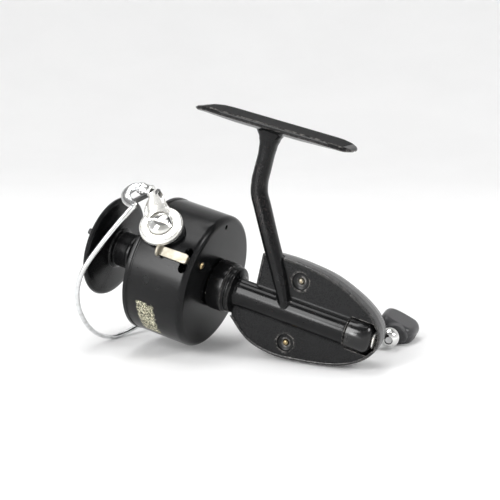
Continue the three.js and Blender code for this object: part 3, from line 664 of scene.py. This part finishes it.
# ---- rotor ---------------------------------------------------------------
def make_rotor():
    """The cup with its two bail pads, the lever's curved slot and the two holes in its floor."""
    outer = [(ROTOR_FRONT, 26.9), (ROTOR_FRONT, 28.2), (ROTOR_FRONT - 0.35, ROTOR_R), (20.95, ROTOR_R),
             (20.75, 28.15), (20.3, 28.15), (20.1, 28.25), (-0.2, 28.05)]
    arc = [(-1.7 - 2.6 * math.sin(a), 25.45 + 2.6 * math.cos(a))
           for a in (math.radians(7.5 * k) for k in range(13))]
    inner = [(ROTOR_REAR, 9.2), (ROTOR_REAR + 0.5, 8.8), (ROTOR_REAR + 0.5, 3.6), (2.6, 3.6), (2.6, 6.8),
             (-2.3, 8), (-2.3, 25.2), (-0.6, 26.4), (22.1, 26.6), (22.5, 26.75)]
    profile = rounded(outer, [0, 0.25, 0.3, 0.2, 0.1, 0.1, 0.1, 0], 3) + arc + rounded(inner, 0.35, 3)
    cup = lathe(profile, steps=216)
    bores = []
    pads = []
    for side in (0, 180):
        flip = turn(side, "X")
        outline = [(22.2, -5.9), (22.2, 5.9)]
        outline += [(10 - 5.9 * math.sin(a), 5.9 * math.cos(a))
                    for a in (math.radians(10 * k) for k in range(19))]
        rims = ((0, 25), (0, PAD_N - 0.5), (0.12, PAD_N - 0.16), (0.4, PAD_N))
        pads.append(slab(outline, 25, PAD_N, "y", flip, rims))
        bores.append(rod("y", 20, 40, 2.5, tilt=flip @ shift(BAIL_X)))
    pad = join(*pads)
    cut(pad, rod("x", -2.2, 30, 26.45, 216))
    join(cup, pad)
    low, high = -25, -10
    sweep = [math.radians(low + (high - low) * k / 12) for k in range(13)]
    slot_arc = [(31 * math.cos(a), 31 * math.sin(a)) for a in sweep]
    slot_arc += [(24 * math.cos(a), 24 * math.sin(a)) for a in reversed(sweep)]
    slot = slab(slot_arc, -2.45, 0.85, "x")
    ends = [rod("y", 24, 31, 1.65, 40, tilt=turn(a, "X") @ shift(-0.8)) for a in (low, high)]
    lever_hole = rod("y", 24, 31, 1.0, 24, tilt=turn(LEVER_ANGLE, "X") @ shift(RIVET_X))
    holes = [rod("x", -6, 0, 1.0, 24, tilt=turn(a, "X") @ shift(0, r, 0))
             for a, r in ((41.6, 24.2), (-13.6, 20.1))]
    cut(cup, *bores, slot, *ends, lever_hole, *holes)
    place(cup, "rotor", "rotor", ROTOR, rotor_enamel, ["rotor_cup"], sharp=32)


make_rotor()


# ---- spool ---------------------------------------------------------------
def make_spool():
    """Rear skirt, stepped arbor and dished front flange, turned in one."""
    rear = [(20.6, 2.4), (20.6, 6.6), (19.2, 8.2), (19.2, 22.4), (19.6, 22.9), (20.7, 22.9), (21.1, 22.4),
            (21.2, 9.2), (22.4, 8.0), (33.8, ARBOR_R), (34.2, 8.1), (35.4, 8.1), (35.8, ARBOR_R),
            (41.6, ARBOR_R), (42.2, 8.6), (43.2, 8.8), (43.5, 11.5)]
    dish = [(44.15, 18.6), (44.45, 20.4), (44.8, 21.2), (45.8, SPOOL_R), (46.75, 21.45), (47.1, 20.8),
            (46.4, 19.5), (45.4, 18), (44.9, 11), (44.6, 6.3), (38.8, 6.3), (38.8, 2.4)]
    profile = rounded(rear + dish, 0.45, 4, closed=True)
    spool = lathe(profile, steps=192)
    place(spool, "spool_shell", "spool", REEL, spool_enamel, ["spool"], sharp=40)


make_spool()


# ---- body casting: plate, tube, neck, stem and foot ----------------------
EGG = [(-16, 14.5), (-22.6, 19.3), (-31.2, 20.5), (-38.9, 20.4), (-50.7, 19.1), (-60, 16.2), (-68.1, 12.4),
       (-74, 8), (-77.3, 3), (-77.5, -1.6), (-74.9, -6.8), (-70, -11.2), (-64.6, -14.1), (-56.6, -16.7),
       (-46, -18.9), (-36.7, -20.1), (-27.9, -19.2), (-22.5, -17.1), (-17.2, -13.1), (-12.4, -8), (-11, 2)]
EGG_STEPS = 168
egg_line = curve_through([(x, z, 0) for x, z in EGG], EGG_STEPS, closed=True)


def notched(body, inset):
    """Cuts the square notch that makes room for the rotor and the neck."""
    return cut(body, block(NECK_X - inset, 10, -40, 40, -40, 40),
               block(NOTCH_X - inset, 10, -40, 40, -4 - inset, 40))


def egg(low, high, inset):
    """The case's outline as a flat slab."""
    return notched(slab(egg_line, low, high, "y", rims=((inset, low), (inset, high))), inset)


def drafted_egg(low, high, inset):
    """The deep half of the housing: its wall leans in towards a well rounded outer face."""
    corner = 3.2
    rims = [(inset + 2.6 + corner * (1 - math.sin(a)), low + corner * (1 - math.cos(a)))
            for a in (math.radians(15 * k) for k in range(7))]
    rims += [(inset + 1.1, low + 7.5), (inset + 0.2, low + 12.5), (inset, high - 1.5), (inset, high)]
    return notched(slab(egg_line, low, high, "y", rims=rims), inset)


def stem_bar(grow=0.0):
    """The bent stem. A station is x, y and z of its centre, then its two half widths."""
    samples = 400
    stations = [(-14.2, 0.1, 69.3, 11.5, 5.6), (-14.3, 0.1, 68.0, 8.0, 5.0), (-14.35, 0.1, 66.4, 5.6, 4.5),
                (-14.4, 0.1, 64.0, 4.2, 4.1), (-14.4, 0.1, 61.0, 3.4, 3.85), (-14.4, 0.2, 57, 3.1, 3.7),
                (-14.2, 0.3, 51, 3.2, 3.7), (-14.2, 0.5, 46.5, 3.2, 3.7), (-15.2, 0.8, 41.8, 3.25, 3.7),
                (-17.9, 1.1, 37, 3.3, 3.7), (-25.1, 2.0, 24.5, 3.2, 3.6), (-32, 2.4, 12.5, 3.0, 3.5),
                (-36.6, 3.1, 3.9, 2.3, 3.0), (-39.5, 3.6, -1.6, 0.4, 1.8)]
    path = curve_through([s[:3] for s in stations], samples)

    def half(s):
        """Half widths between the two stations on either side of the curve's height at s."""
        p = path[min(int(s * (samples - 1) + 0.5), samples - 1)]
        for a, b in zip(stations, stations[1:]):
            if a[2] >= p.z >= b[2]:
                t = (a[2] - p.z) / (a[2] - b[2])
                t = t * t * (3 - 2 * t)
                return a[3] + (b[3] - a[3]) * t + grow, a[4] + (b[4] - a[4]) * t + grow
        return stations[-1][3] + grow, stations[-1][4] + grow

    return bar([s[:3] for s in stations], half, 120, 48, 2.4, across=(1, 0, 0.001))


def foot_bar():
    """The foot: a plan outline whose underside is a shallow keel and whose ends taper down."""
    bm = bmesh.new()
    rear, length = -49.55, 69.5
    top_line = [(-49.6, 68.7), (-48.4, 69.4), (-46, 70.0), (-42, 70.4), (-38, FOOT_Z), (7, FOOT_Z),
                (11, 70.4), (14.5, 69.95), (17.5, 69.1), (19.3, 68.2), (20, 67.6)]
    keel_line = [(-49.6, 68.3), (-46, 67.6), (-40, 66.8), (-26.8, 66.1), (1.3, 66.0), (10.8, 66.5),
                 (15.6, 67.0), (20, 67.5)]
    width_line = [(-49.6, 1.8), (-49.3, 3.4), (-48, 5.3), (-45.4, 6.8), (-41, 7.6), (6, 7.6), (10.6, 7.0),
                  (14.5, 5.7), (17.8, 3.7), (19.4, 1.9), (20, 0.4)]

    def at(line, x):
        """Value of a polyline at x."""
        for (x0, v0), (x1, v1) in zip(line, line[1:]):
            if x0 <= x <= x1:
                return v0 + (v1 - v0) * (x - x0) / (x1 - x0)
        return line[-1][1] if x > line[-1][0] else line[0][1]

    rings = []
    stations = 140
    for i in range(stations + 1):
        x = rear + length * i / stations
        half, top, keel = at(width_line, x), at(top_line, x), at(keel_line, x)
        rim = max(top - 1.5 - 0.05 * half, keel + 0.3)
        deep = max(keel, rim - 0.42 * half)
        shape = [(-half, top - 0.35), (-half + 0.35, top)]
        shape += [(half - 0.35, top), (half, top - 0.35), (half, rim), (half * 0.55, (rim + deep) / 2 - 0.3)]
        shape += [(0, deep), (-half * 0.55, (rim + deep) / 2 - 0.3), (-half, rim)]
        rings.append([bm.verts.new((x, y, z)) for y, z in shape])
    skin(bm, rings, closed=False, caps=True)
    return to_object("foot", bm)


def make_body():
    """Side plate, shaft tube, neck, stem and foot as one casting."""
    plate = egg(0.2, PLATE_Y, 0.4)
    tube = rod("x", -64.2, NECK_X + 0.2, TUBE_R, 96)
    tube = cut(tube, block(-90, 0, -30, 0.5, -30, 30))
    line = [(-16.2, 0), (-16.2, 6.0), (-15.4, 6.4), (-14.9, 8.8), (-14.4, 9.4), (-13.2, 9.7), (-12.7, 9.4),
            (-12.3, 9.4), (-11.7, 10.3), (-5.4, 10.4), (-4.75, 9.9), (-4.6, 9.4), (-4.6, 0)]
    neck = lathe(rounded(line, 0.35, 3))
    solid = cast([plate, tube, neck, stem_bar(), foot_bar()], 0.32, 5)
    cutters = [rod("x", -64.9, -16, 4.7, 64), block(-24, -22.9, -12, 0.2, -12, 12),
               rod("x", -13.6, -4, 5.4, 64), rod("x", -90, -64.28, 6.9, 64)]
    for x, z in SCREWS:
        ring = [(1.05, 0), (1.05, 3.2), (1.3, 3.5), (2.0, 3.62), (3.5, 4.2), (3.5, 0)]
        cutters.append(lathe(ring, "y", 64, at=(x, 0, z)))
        cutters.append(rod("y", -1, 4, 1.5, 32, at=(x, 0, z)))
        cutters.append(lathe([(1.72, 4.0), (2.6, 4.0), (2.6, 4.25), (1.72, 4.25)], "y", 64, at=(x, 0, z)))
    rim = slab(egg_line, 0, 0, "y", rims=((-4, -0.4), (-4, PLATE_Y + 0.2)))
    cut(rim, slab(egg_line, 0, 0, "y", rims=((1.04, -1), (1.04, PLATE_Y + 1))), stem_bar(0.1),
        block(NOTCH_X - 1.3, 10, -40, 40, -40, 40))
    cut(solid, *cutters, rim)
    place(solid, "body", "frame", REEL, body_enamel, ["body_casting"], sharp=50)


make_body()


# ---- gear housing --------------------------------------------------------
def make_housing():
    """The deep half of the gear case, with its crank boss and two screw posts."""
    shell = drafted_egg(SHELL_Y, PLATE_Y + 0.4, 0)
    cutters = [drafted_egg(SHELL_Y + 1.5, 6, 1.0), rod("x", -25, 0, TUBE_R + 0.5, 96),
               rod("x", -17, 0, 10.6, 96), rod("x", -76.2, -74, 4.4, 64), stem_bar(0.45)]
    cut(shell, *cutters)
    extras = [rod("y", SHELL_Y - 2.6, SHELL_Y + 2.3, 7.2, 96, at=(CRANK_X, 0, 0))]
    for x, z in SCREWS:
        extras.append(rod("y", SHELL_Y + 1, -9.4, 3.9, 48, at=(x, 0, z)))
    join(shell, *extras)
    cutters = [rod("y", -30, SHELL_Y + 6, 5.2, 64, at=(CRANK_X, 0, 0))]
    for x, z in SCREWS:
        cutters.append(rod("y", -20, 2, 1.5, 32, at=(x, 0, z)))
        cutters.append(rod("y", -20, SHELL_Y + 1.6, 3.0, 48, at=(x, 0, z)))
    cut(shell, *cutters)
    shell = cast([shell], 0.26, 3)
    place(shell, "housing", "frame", REEL, housing_enamel, ["gear_housing"], sharp=60)


make_housing()


# ---- tube end cap and plug ----------------------------------------------
def make_tube_end():
    """Black cap over the tube's rear end, with the slotted plug in its middle."""
    line = [(-64.62, 4.9), (-64.62, 6.2), (-64.8, 6.45), (-65.1, 6.5), (-70.8, 6.5)]
    line += [(-70.8 - 3.7 * math.sin(a), 3.3 + 3.2 * math.cos(a))
             for a in (math.radians(10 * k) for k in range(1, 9))]
    line += [(-74.5, 3.2), (-74.5, 2.2), (-72.4, 2.2), (-72.4, 4.2), (-71, 4.9)]
    place(lathe(line, steps=96), "tube_cap", "frame", REEL, cap_enamel, ["tube_end_cap"])
    line = [(-70.6, 0), (-70.6, 1.9), (-74.8, 1.9), (-74.8, 3.3), (-75.0, 3.5), (-75.3, 3.45), (-75.52, 3.0),
            (-75.62, 1.5), (-75.64, 0)]
    plug = cut(lathe(rounded(line, 0.12, 3), steps=64), block(-77, -75.25, -0.4, 0.4, -4, 4))
    place(plug, "plug", "frame", REEL, worn_chrome, ["end_plug"])


make_tube_end()


# ---- housing screws: their ends show as domed studs ----------------------
def make_housing_screws():
    upper, lower = SCREWS
    fasteners = ((upper, "housing_screw_upper", nickel, "nickel_plate"),
                 (lower, "housing_screw_lower", brass, "brass_bare"))
    for (x, z), node, metal, slot in fasteners:
        line = [(-15.3, 0), (-15.3, 2.3), (-14.9, 2.7), (-13.8, 2.7), (-13.8, 1.15), (1.35, 1.15),
                (1.75, 0.85), (1.92, 0.4), (1.95, 0)]
        screw = cut(lathe(rounded(line, 0.15, 3), "y", 48, at=(x, 0, z)),
                    block(x - 4, x + 4, -16, -14.7, z - 0.35, z + 0.35))
        place(screw, node.replace("housing_", ""), "frame", REEL, metal, [node])


make_housing_screws()


# ---- bail ----------------------------------------------------------------
ARM_Y = PAD_N + GAP
ROLLER = (8.9, 35.4, 10.9)


def make_bail_arm():
    """Chrome disc round the near pivot, and the limb that rises from it to the roller."""
    disc_line = [(0, 0), (0, 8.6), (0.25, 8.8), (1.7, 8.8), (2.2, 8.55), (2.5, 8.0), (2.55, 7.0), (2.55, 0)]
    disc = lathe(rounded(disc_line, 0.2, 3), "y", 96, at=(0, ARM_Y, 0))
    corners = [(8.6, 1.2), (10.3, 4.6), (11.0, 8.2), (10.2, 11.4), (7.0, 11.7), (3.4, 10.0), (-1.2, 7.6)]
    outline = rounded(corners, 1.2, 5, closed=True)
    rims = ((0.4, ARM_Y), (0.1, ARM_Y + 0.15), (0, ARM_Y + 0.5), (0.1, ARM_Y + 2.6), (0.6, ARM_Y + 3.2))
    web = slab(outline, 0, 0, "y", rims=rims)

    def half(s):
        return 5.6 - 3.1 * s ** 0.8, 1.9 + 0.5 * s

    limb = bar([(2.6, ARM_Y + 1.4, 3.4), (5.6, ARM_Y + 2.7, 7.2), (7.7, ARM_Y + 4.8, 10.1), ROLLER],
               half, 40, 40, 2.3, across=(0.72, 0, -0.69))
    arm = cast([disc, web, limb], 0.16, 6)
    cut(arm, rod("y", 20, 40, 2.9, 64), rod("y", ARM_Y + 1.4, 40, 5.4, 96),
        rod("x", -9, 6, 1.3, 32, at=ROLLER), rod("x", 0.3, 9, 3.6, 64, at=ROLLER))
    place(arm, "arm", "bail", BAIL, worn_chrome, ["bail_arm"], sharp=50)


def pivot_screw(domed):
    """A slotted screw on the bail's pivot: the near one has a dome and the far one a flat head."""
    head = [(31.65, 4.85), (32.0, 5.0), (32.6, 4.95)]
    head += [(32.5 + 2.5 * math.sin(a), 4.95 * math.cos(a))
             for a in (math.radians(9 * k) for k in range(1, 10))]
    flat = [(31.65, 4.1), (31.9, 4.3), (32.6, 4.3), (33.1, 3.7), (33.35, 2.4)]
    line = [(25.0, 0), (25.0, 2.2), (31.0, 2.2), (31.0, 2.5), (31.65, 2.5)]
    line += (head if domed else flat) + [(35.0 if domed else 33.4, 0)]
    deep = 33.0 if domed else 32.6
    slot = block(-7, 7, deep, 40, -0.36, 0.36, tilt=turn(3, "Y"))
    return cut(lathe(line, "y", 96), slot)


def make_bail_screws():
    far_pad = ROTOR @ turn(180, "X") @ shift(BAIL_X)
    for side, where, domed in (("near", BAIL, True), ("far", far_pad, False)):
        place(pivot_screw(domed), "pivot_screw_" + side, "rotor", where, screw_chrome,
              ["bail_screw_" + side])


def make_roller():
    line = [(0.45, 1.3), (0.45, 2.4), (0.7, 2.65), (1.3, 2.65), (1.5, 2.4), (4.2, 2.35), (4.4, 2.6),
            (5.1, 2.6), (5.3, 2.4), (5.3, 1.3)]
    roller = lathe(rounded(line, 0.12, 3), "x", 72, at=ROLLER)
    place(roller, "roller", "roller", BAIL, chrome, ["line_roller"])
    line = [(-2.6, 0), (-2.6, 1.6), (-2.3, 1.9), (-1.6, 1.9), (-1.6, 1.0), (6.2, 1.0), (6.4, 0.8), (6.4, 0)]
    axle = lathe(line, "x", 40, at=ROLLER)
    place(axle, "roller_axle", "bail", BAIL, dark_steel, ["roller_pin"])


def make_bail_wire():
    """The wire's leaning half oval, its flat hook at the roller and its foot on the far pivot."""
    half_oval = [(37.4, 2.4), (36.4, 6), (34.0, 14.4), (31.2, 22.6), (28.4, 29.2), (25.3, 34), (20.6, 37.7),
                 (14.4, 40.4), (7.6, 41.9), (0, 42.4)]
    lean = math.radians(71)
    offset = -11.53

    def on_wire(n, r):
        """A point of the leaning plane, n across the rotor and r up the plane."""
        x = r * math.cos(lean) - offset * math.sin(lean)
        return (x, n, -(r * math.sin(lean) + offset * math.cos(lean)))

    def thickness(s):
        return (1.15 - 0.9 * min(s, 0.2), 0.95) if s < 0.5 else (0.95, 0.95)

    near = [on_wire(n, r) for n, r in half_oval]
    far = [on_wire(-n, r) for n, r in reversed(half_oval[1:-1])]
    tail = [on_wire(-36.2, 7.5), (8.6, -34.6, 3.2), (5.4, -32.3, 1.6)]
    wire = bar(near + far[:-1] + tail, thickness, 300, 24)
    course = [(14.6, 35.4, 11.1), (16.9, 35.5, 10.7), (18.2, 36.1, 8.2), (17.9, 36.7, 5.2), (16.1, 36.9, 2.9),
              (13.6, 37.2, 1.6), (11.6, 37.4, 1.3)]
    hook = bar(course, lambda s: (0.95, 1.5 + 0.5 * math.sin(math.pi * s)), 90, 28, 2.8, across=(0, 1, 0))
    collar = rounded([(5.55, 0), (5.55, 1.9), (5.8, 2.2), (6.5, 2.2), (6.9, 1.9), (6.9, 0)], 0.15, 3)
    foot = [(0, 0), (0, 6.1), (-0.2, 6.3), (-1.8, 6.3), (-2.3, 5.9), (-2.4, 5.4), (-2.4, 0)]
    join(wire, hook, lathe(collar, "x", 64, at=ROLLER), lathe(foot, "y", 72, at=(0, -ARM_Y, 0)))
    cut(wire, rod("x", 0, 6.5, 1.3, 32, at=ROLLER), rod("y", -40, -20, 2.9, 64),
        rod("y", -40, -ARM_Y - 1.4, 4.7, 72))
    place(wire, "wire", "bail", BAIL, wire_chrome, ["bail_wire"], sharp=45)
    # A dark steel bar inside the hook. It fills the hook's inner side, which lies in shade, so its dark tone
    # is partly painted shade.
    shaded_guard = bar([(10.9, 35.0, 8.9), (13.2, 35.6, 4.8), (14.0, 36.4, 2.6)], lambda s: (1.1, 1.1), 24, 20)
    place(shaded_guard, "line_guard_in_shade", "bail", BAIL, dark_steel)


make_bail_arm()
make_bail_screws()
make_roller()
make_bail_wire()


# ---- trip lever ----------------------------------------------------------
def make_lever():
    """A bent strip with a lip at the bail's end and a tab through the rotor's slot, on a rivet."""
    corners = [(10.9, -1.9), (10.9, 1.9), (-1.0, 2.0), (-2.2, 1.6), (-2.2, -1.6), (-1.0, -2.0)]
    outline = rounded(corners, 0.4, 4, closed=True)
    rims = ((0.12, 29.0), (0, 29.1), (0, 29.75), (0.12, 29.9))
    strip = slab(outline, 0, 0, "y", rims=rims)
    lip = bar([(10.1, 29.9, -2.1), (10.3, 31.0, -1.8), (10.4, 31.5, 0), (10.3, 31.0, 1.8), (10.1, 29.9, 2.1)],
              lambda s: (0.75, 0.85), 40, 20, 2.4, across=(1, 0, 0))
    post = block(9.6, 11.0, 29.2, 31.0, -1.9, 1.9)
    tab = block(-2.1, -1.2, 24.6, 29.6, -1.1, 1.1)
    lever = cast([strip, lip, post, tab], 0.1, 5)
    cut(lever, rod("y", 20, 29.9, 1.3, 32, at=(RIVET_X, 0, 0)))
    place(lever, "lever", "lever", LEVER, nickel, ["trip_lever"], sharp=50)
    line = [(24.8, 0), (24.8, 1.6), (25.5, 1.6), (25.5, 0.75), (28.5, 0.75), (28.6, 0.9), (29.7, 0.9),
            (29.7, 0)]
    rivet = lathe(line, "y", 40, at=(RIVET_X, 0, 0))
    place(rivet, "rivet", "rotor", LEVER, nickel, ["lever_rivet"])


make_lever()


# ---- drag knob -----------------------------------------------------------
def make_drag_knob():
    """A low turned cap with one wing across it."""
    line = [(47.2, 0), (47.2, 6.4), (47.4, 6.8), (47.8, 7), (49.2, 7), (49.8, 6.8), (50.4, 6.2), (52.2, 5.1),
            (53, 4), (53.3, 2.6), (53.35, 0)]
    body = lathe(rounded(line, 0.3, 3), steps=72)
    corners = [(49, -12.4), (53.6, -12.4), (53.5, -5), (53.3, 0), (53.5, 5), (53.6, 12.4), (49, 12.4)]
    rims = ((0.5, -1.3), (0.12, -1.1), (0, -0.7), (0, 0.7), (0.12, 1.1), (0.5, 1.3))
    wing_turn = turn(31, "X")
    wing = slab(rounded(corners, 0.7, 5, closed=True), 0, 0, "z", wing_turn, rims)
    knob = cast([body, wing], 0.2, 6)
    cut(knob, rod("x", 40, 50.8, SHAFT_R + GAP, 48))
    place(knob, "drag", "drag", REEL, knob_plastic, ["drag_knob"], sharp=55)


make_drag_knob()


# ---- crank ---------------------------------------------------------------
def make_crank():
    """Hub, arm and ball end in one forging, and the screw that holds the hub."""
    line = [(-19, 0), (-19, 5.3), (-19.3, 5.7), (-19.8, 5.8), (-23.1, 5.8), (-23.7, 5.5), (-24, 4.9),
            (-24, 0)]
    hub = lathe(rounded(line, 0.2, 3), "y", 72)

    def half(s):
        return 3.25 - 0.55 * s, 1.75 - 0.1 * s

    course = [(3.0, -21.4, 0), (9, -23.0, 0), (18, -26.9, 0), (27, -30.8, 0), (33.6, -33.0, 0)]
    arm = bar(course, half, 60, 32, 2.6, across=(0, 0, 1))
    ball_x, ball_y = BALL_AT
    forging = cast([hub, arm, ball((ball_x, ball_y, 0), BALL_R)], 0.2, 6)
    hole = shift(ball_x, ball_y) @ turn(-KNOB_TILT, "Z")
    cut(forging, rod("y", -30, -10, 3.3, 48), rod("y", -12, 12, 1.7, 48, tilt=hole))
    place(forging, "crank_handle", "crank", CRANK, chrome, ["crank_arm"], sharp=50)
    line = [(-24.65, 0), (-24.65, 3.5), (-24.8, 3.7), (-25.3, 3.7), (-25.8, 3.4), (-26.15, 2.8), (-26.3, 1.8),
            (-26.3, 0)]
    screw = cut(lathe(line, "y", 64), block(-6, 6, -27, -25.7, -0.4, 0.4))
    place(screw, "hub_screw", "crank", CRANK, worn_chrome, ["crank_screw"])


def make_knob():
    """The paddle, whose flat outline grows out of an oval neck."""
    line = [(-4.9, 0), (-4.9, 3.4), (-5.1, 3.8), (-5.5, 4.0), (-9.2, 4.0), (-13, 3.0), (-13, 0)]
    neck = lathe(line, "y", 64)
    neck_width = 1.3
    neck.data.transform(shift(2.0) @ Matrix.Diagonal((neck_width, 1, 1, 1)))
    outline = [(-4.8, -8.6), (1, -7.4), (6.4, -7.4), (8.8, -9.4), (10.4, -14), (10.9, -19), (9.2, -22.8),
               (4.4, -24.2), (-1.6, -24.1), (-4.8, -22), (-6, -16.4), (-6.2, -11)]
    line = curve_through([(x, y, 0) for x, y in outline], 110, closed=True)
    edge_r = 2.4
    rims = [(edge_r * (1 - math.sin(a)), -1.6 - edge_r * math.cos(a))
            for a in (math.pi / 2 * k / 8 for k in range(9))]
    rims += [(inset, -z) for inset, z in reversed(rims)]
    paddle = slab(line, 0, 0, "z", rims=rims)
    knob = cast([neck, paddle], 0.22, 8)
    cut(knob, rod("y", -30, 10, 1.7, 48), rod("y", -30, -22.6, 2.9, 48))
    place(knob, "grip", "knob", KNOB, grip, ["handle_knob"], sharp=55)


make_crank()
make_knob()

# ---- pieces that keep their CAD shape ------------------------------------
KEPT = (
    (steel, ("main_shaft", "front_bearing", "pawl_pivot", "anti_reverse_pawl", "bail_spring",
             "drag_washer_keyed", "drag_spring", "drive_pin", "ratchet_wheel", "crank_shaft",
             "knob_spindle")),
    (brass, ("neck_bushing", "crank_bushing", "rotor_nut", "spring_rivet", "pinion", "shaft_yoke",
             "drive_gear")),
    (washer_felt, ("drag_washer_rear", "drag_washer_front")),
)


def dress_kept(node, material):
    """Smooth shading on a CAD piece, with its edges of more than 32 degrees kept hard."""
    node.data.materials.clear()
    node.data.materials.append(material)
    for polygon in node.data.polygons:
        polygon.use_smooth = True
    weld = node.modifiers.new("weld", "WELD")
    weld.merge_threshold = 1e-6
    split = node.modifiers.new("split", "EDGE_SPLIT")
    split.split_angle = math.radians(32)


for kept_material, kept_names in KEPT:
    for kept_name in kept_names:
        dress_kept(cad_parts[kept_name], kept_material)


# ---- floor, light and camera ---------------------------------------------
# The reel is shown lying down: in its own frame the floor leans by FLOOR_TILT degrees, and it is
# as high as the lowest vertex of the CAD pieces. LOOK is the camera's direction.
FLOOR_TILT = 13
LOOK = Vector((0.3757, -0.8819, -0.2849))
CAMERA_AT = (-0.16117, 0.37822, 0.06974)
CAMERA_ROLL = 12.2
SENSOR_MM = 36
LENS_MM = 77
WORLD_STRENGTH = 0.3
FLOOR_FLAT = 0.6
FLOOR_CURVE = 0.9
WALL_TOP = 1.8
# Each light: name, place, width and height, power, and what it points at. Places are to the right,
# ahead and up from the camera's side, in metres.
REEL_MIDDLE = (0, 0, 0.05)
LIGHTS = (
    ("left", (-0.72, -0.7, 0.52), (0.34, 0.8), 9.8, REEL_MIDDLE),
    ("side", (-0.66, -0.78, 0.2), (0.1, 0.36), 1.4, REEL_MIDDLE),
    ("right", (0.75, -0.35, 0.65), (0.3, 0.35), 3.5, REEL_MIDDLE),
    ("top", (-0.1, 0.12, 1.0), (0.9, 0.35), 4, REEL_MIDDLE),
    ("wall", (0.0, -0.2, 1.4), (1.2, 0.3), 2.4, (0, 1.5, 0.5)),
)
floor_up = Vector((math.sin(math.radians(FLOOR_TILT)), 0, math.cos(math.radians(FLOOR_TILT))))
support = min(v.co.dot(floor_up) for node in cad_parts.values() for v in node.data.vertices)
ahead = (LOOK - floor_up * LOOK.dot(floor_up)).normalized()
aside = ahead.cross(floor_up)
STUDIO = Matrix((aside, ahead, floor_up)).transposed().to_4x4()
STUDIO.translation = floor_up * support


def make_floor():
    """A wide pale bowl: flat under the reel, curving up into a wall all round it."""
    sides = 72
    line = [(0.25, 0), (FLOOR_FLAT, 0)]
    line += [(FLOOR_FLAT + FLOOR_CURVE * math.sin(a), FLOOR_CURVE - FLOOR_CURVE * math.cos(a))
             for a in (math.radians(5 * k) for k in range(1, 19))]
    line += [(FLOOR_FLAT + FLOOR_CURVE, WALL_TOP)]
    angles = [2 * math.pi * k / sides for k in range(sides)]
    bm = bmesh.new()
    rings = [[bm.verts.new((r * math.cos(a), r * math.sin(a), z)) for a in angles] for r, z in line]
    bm.faces.new(rings[0])
    for inner, outer in zip(rings, rings[1:]):
        for k in range(sides):
            bm.faces.new((inner[k - 1], outer[k - 1], outer[k], inner[k]))
    floor = to_object("floor", bm)
    floor.data.transform(STUDIO)
    for polygon in floor.data.polygons:
        polygon.use_smooth = True
    s = Surface("pale_floor")
    tone = s.mix(s.noise(0.01, 3), (0.86, 0.86, 0.86), (0.91, 0.91, 0.91))
    s.set(Base_Color=tone, Roughness=0.7)
    s.shader.inputs["Specular IOR Level"].default_value = 0.2
    floor.data.materials.append(s.material)


def make_light(name, at, size, power, aim):
    """A soft box, which lights the reel but isn't seen itself."""
    data = bpy.data.lights.new(name, "AREA")
    data.shape = "RECTANGLE"
    data.size, data.size_y = size
    data.energy = power
    lamp = bpy.data.objects.new(name, data)
    lamp.location = STUDIO @ Vector(at)
    toward = STUDIO @ Vector(aim) - STUDIO @ Vector(at)
    lamp.rotation_euler = toward.to_track_quat("-Z", "Y").to_euler()
    lamp.visible_camera = False
    bpy.context.scene.collection.objects.link(lamp)


def make_world():
    world = bpy.data.worlds.new("studio")
    world.use_nodes = True
    world.node_tree.nodes["Background"].inputs["Color"].default_value = (1, 1, 1, 1)
    world.node_tree.nodes["Background"].inputs["Strength"].default_value = WORLD_STRENGTH
    bpy.context.scene.world = world


def make_camera():
    data = bpy.data.cameras.new("camera")
    data.sensor_width = SENSOR_MM
    data.lens = LENS_MM
    data.clip_start = 0.01
    camera = bpy.data.objects.new("camera", data)
    camera.location = CAMERA_AT
    facing = LOOK.to_track_quat("-Z", "Y").to_matrix().to_4x4()
    camera.rotation_euler = (facing @ turn(CAMERA_ROLL, "Z")).to_euler()
    bpy.context.scene.collection.objects.link(camera)
    bpy.context.scene.camera = camera


make_floor()
for light in LIGHTS:
    make_light(*light)
make_world()
make_camera()
bpy.context.scene.view_settings.view_transform = "Standard"
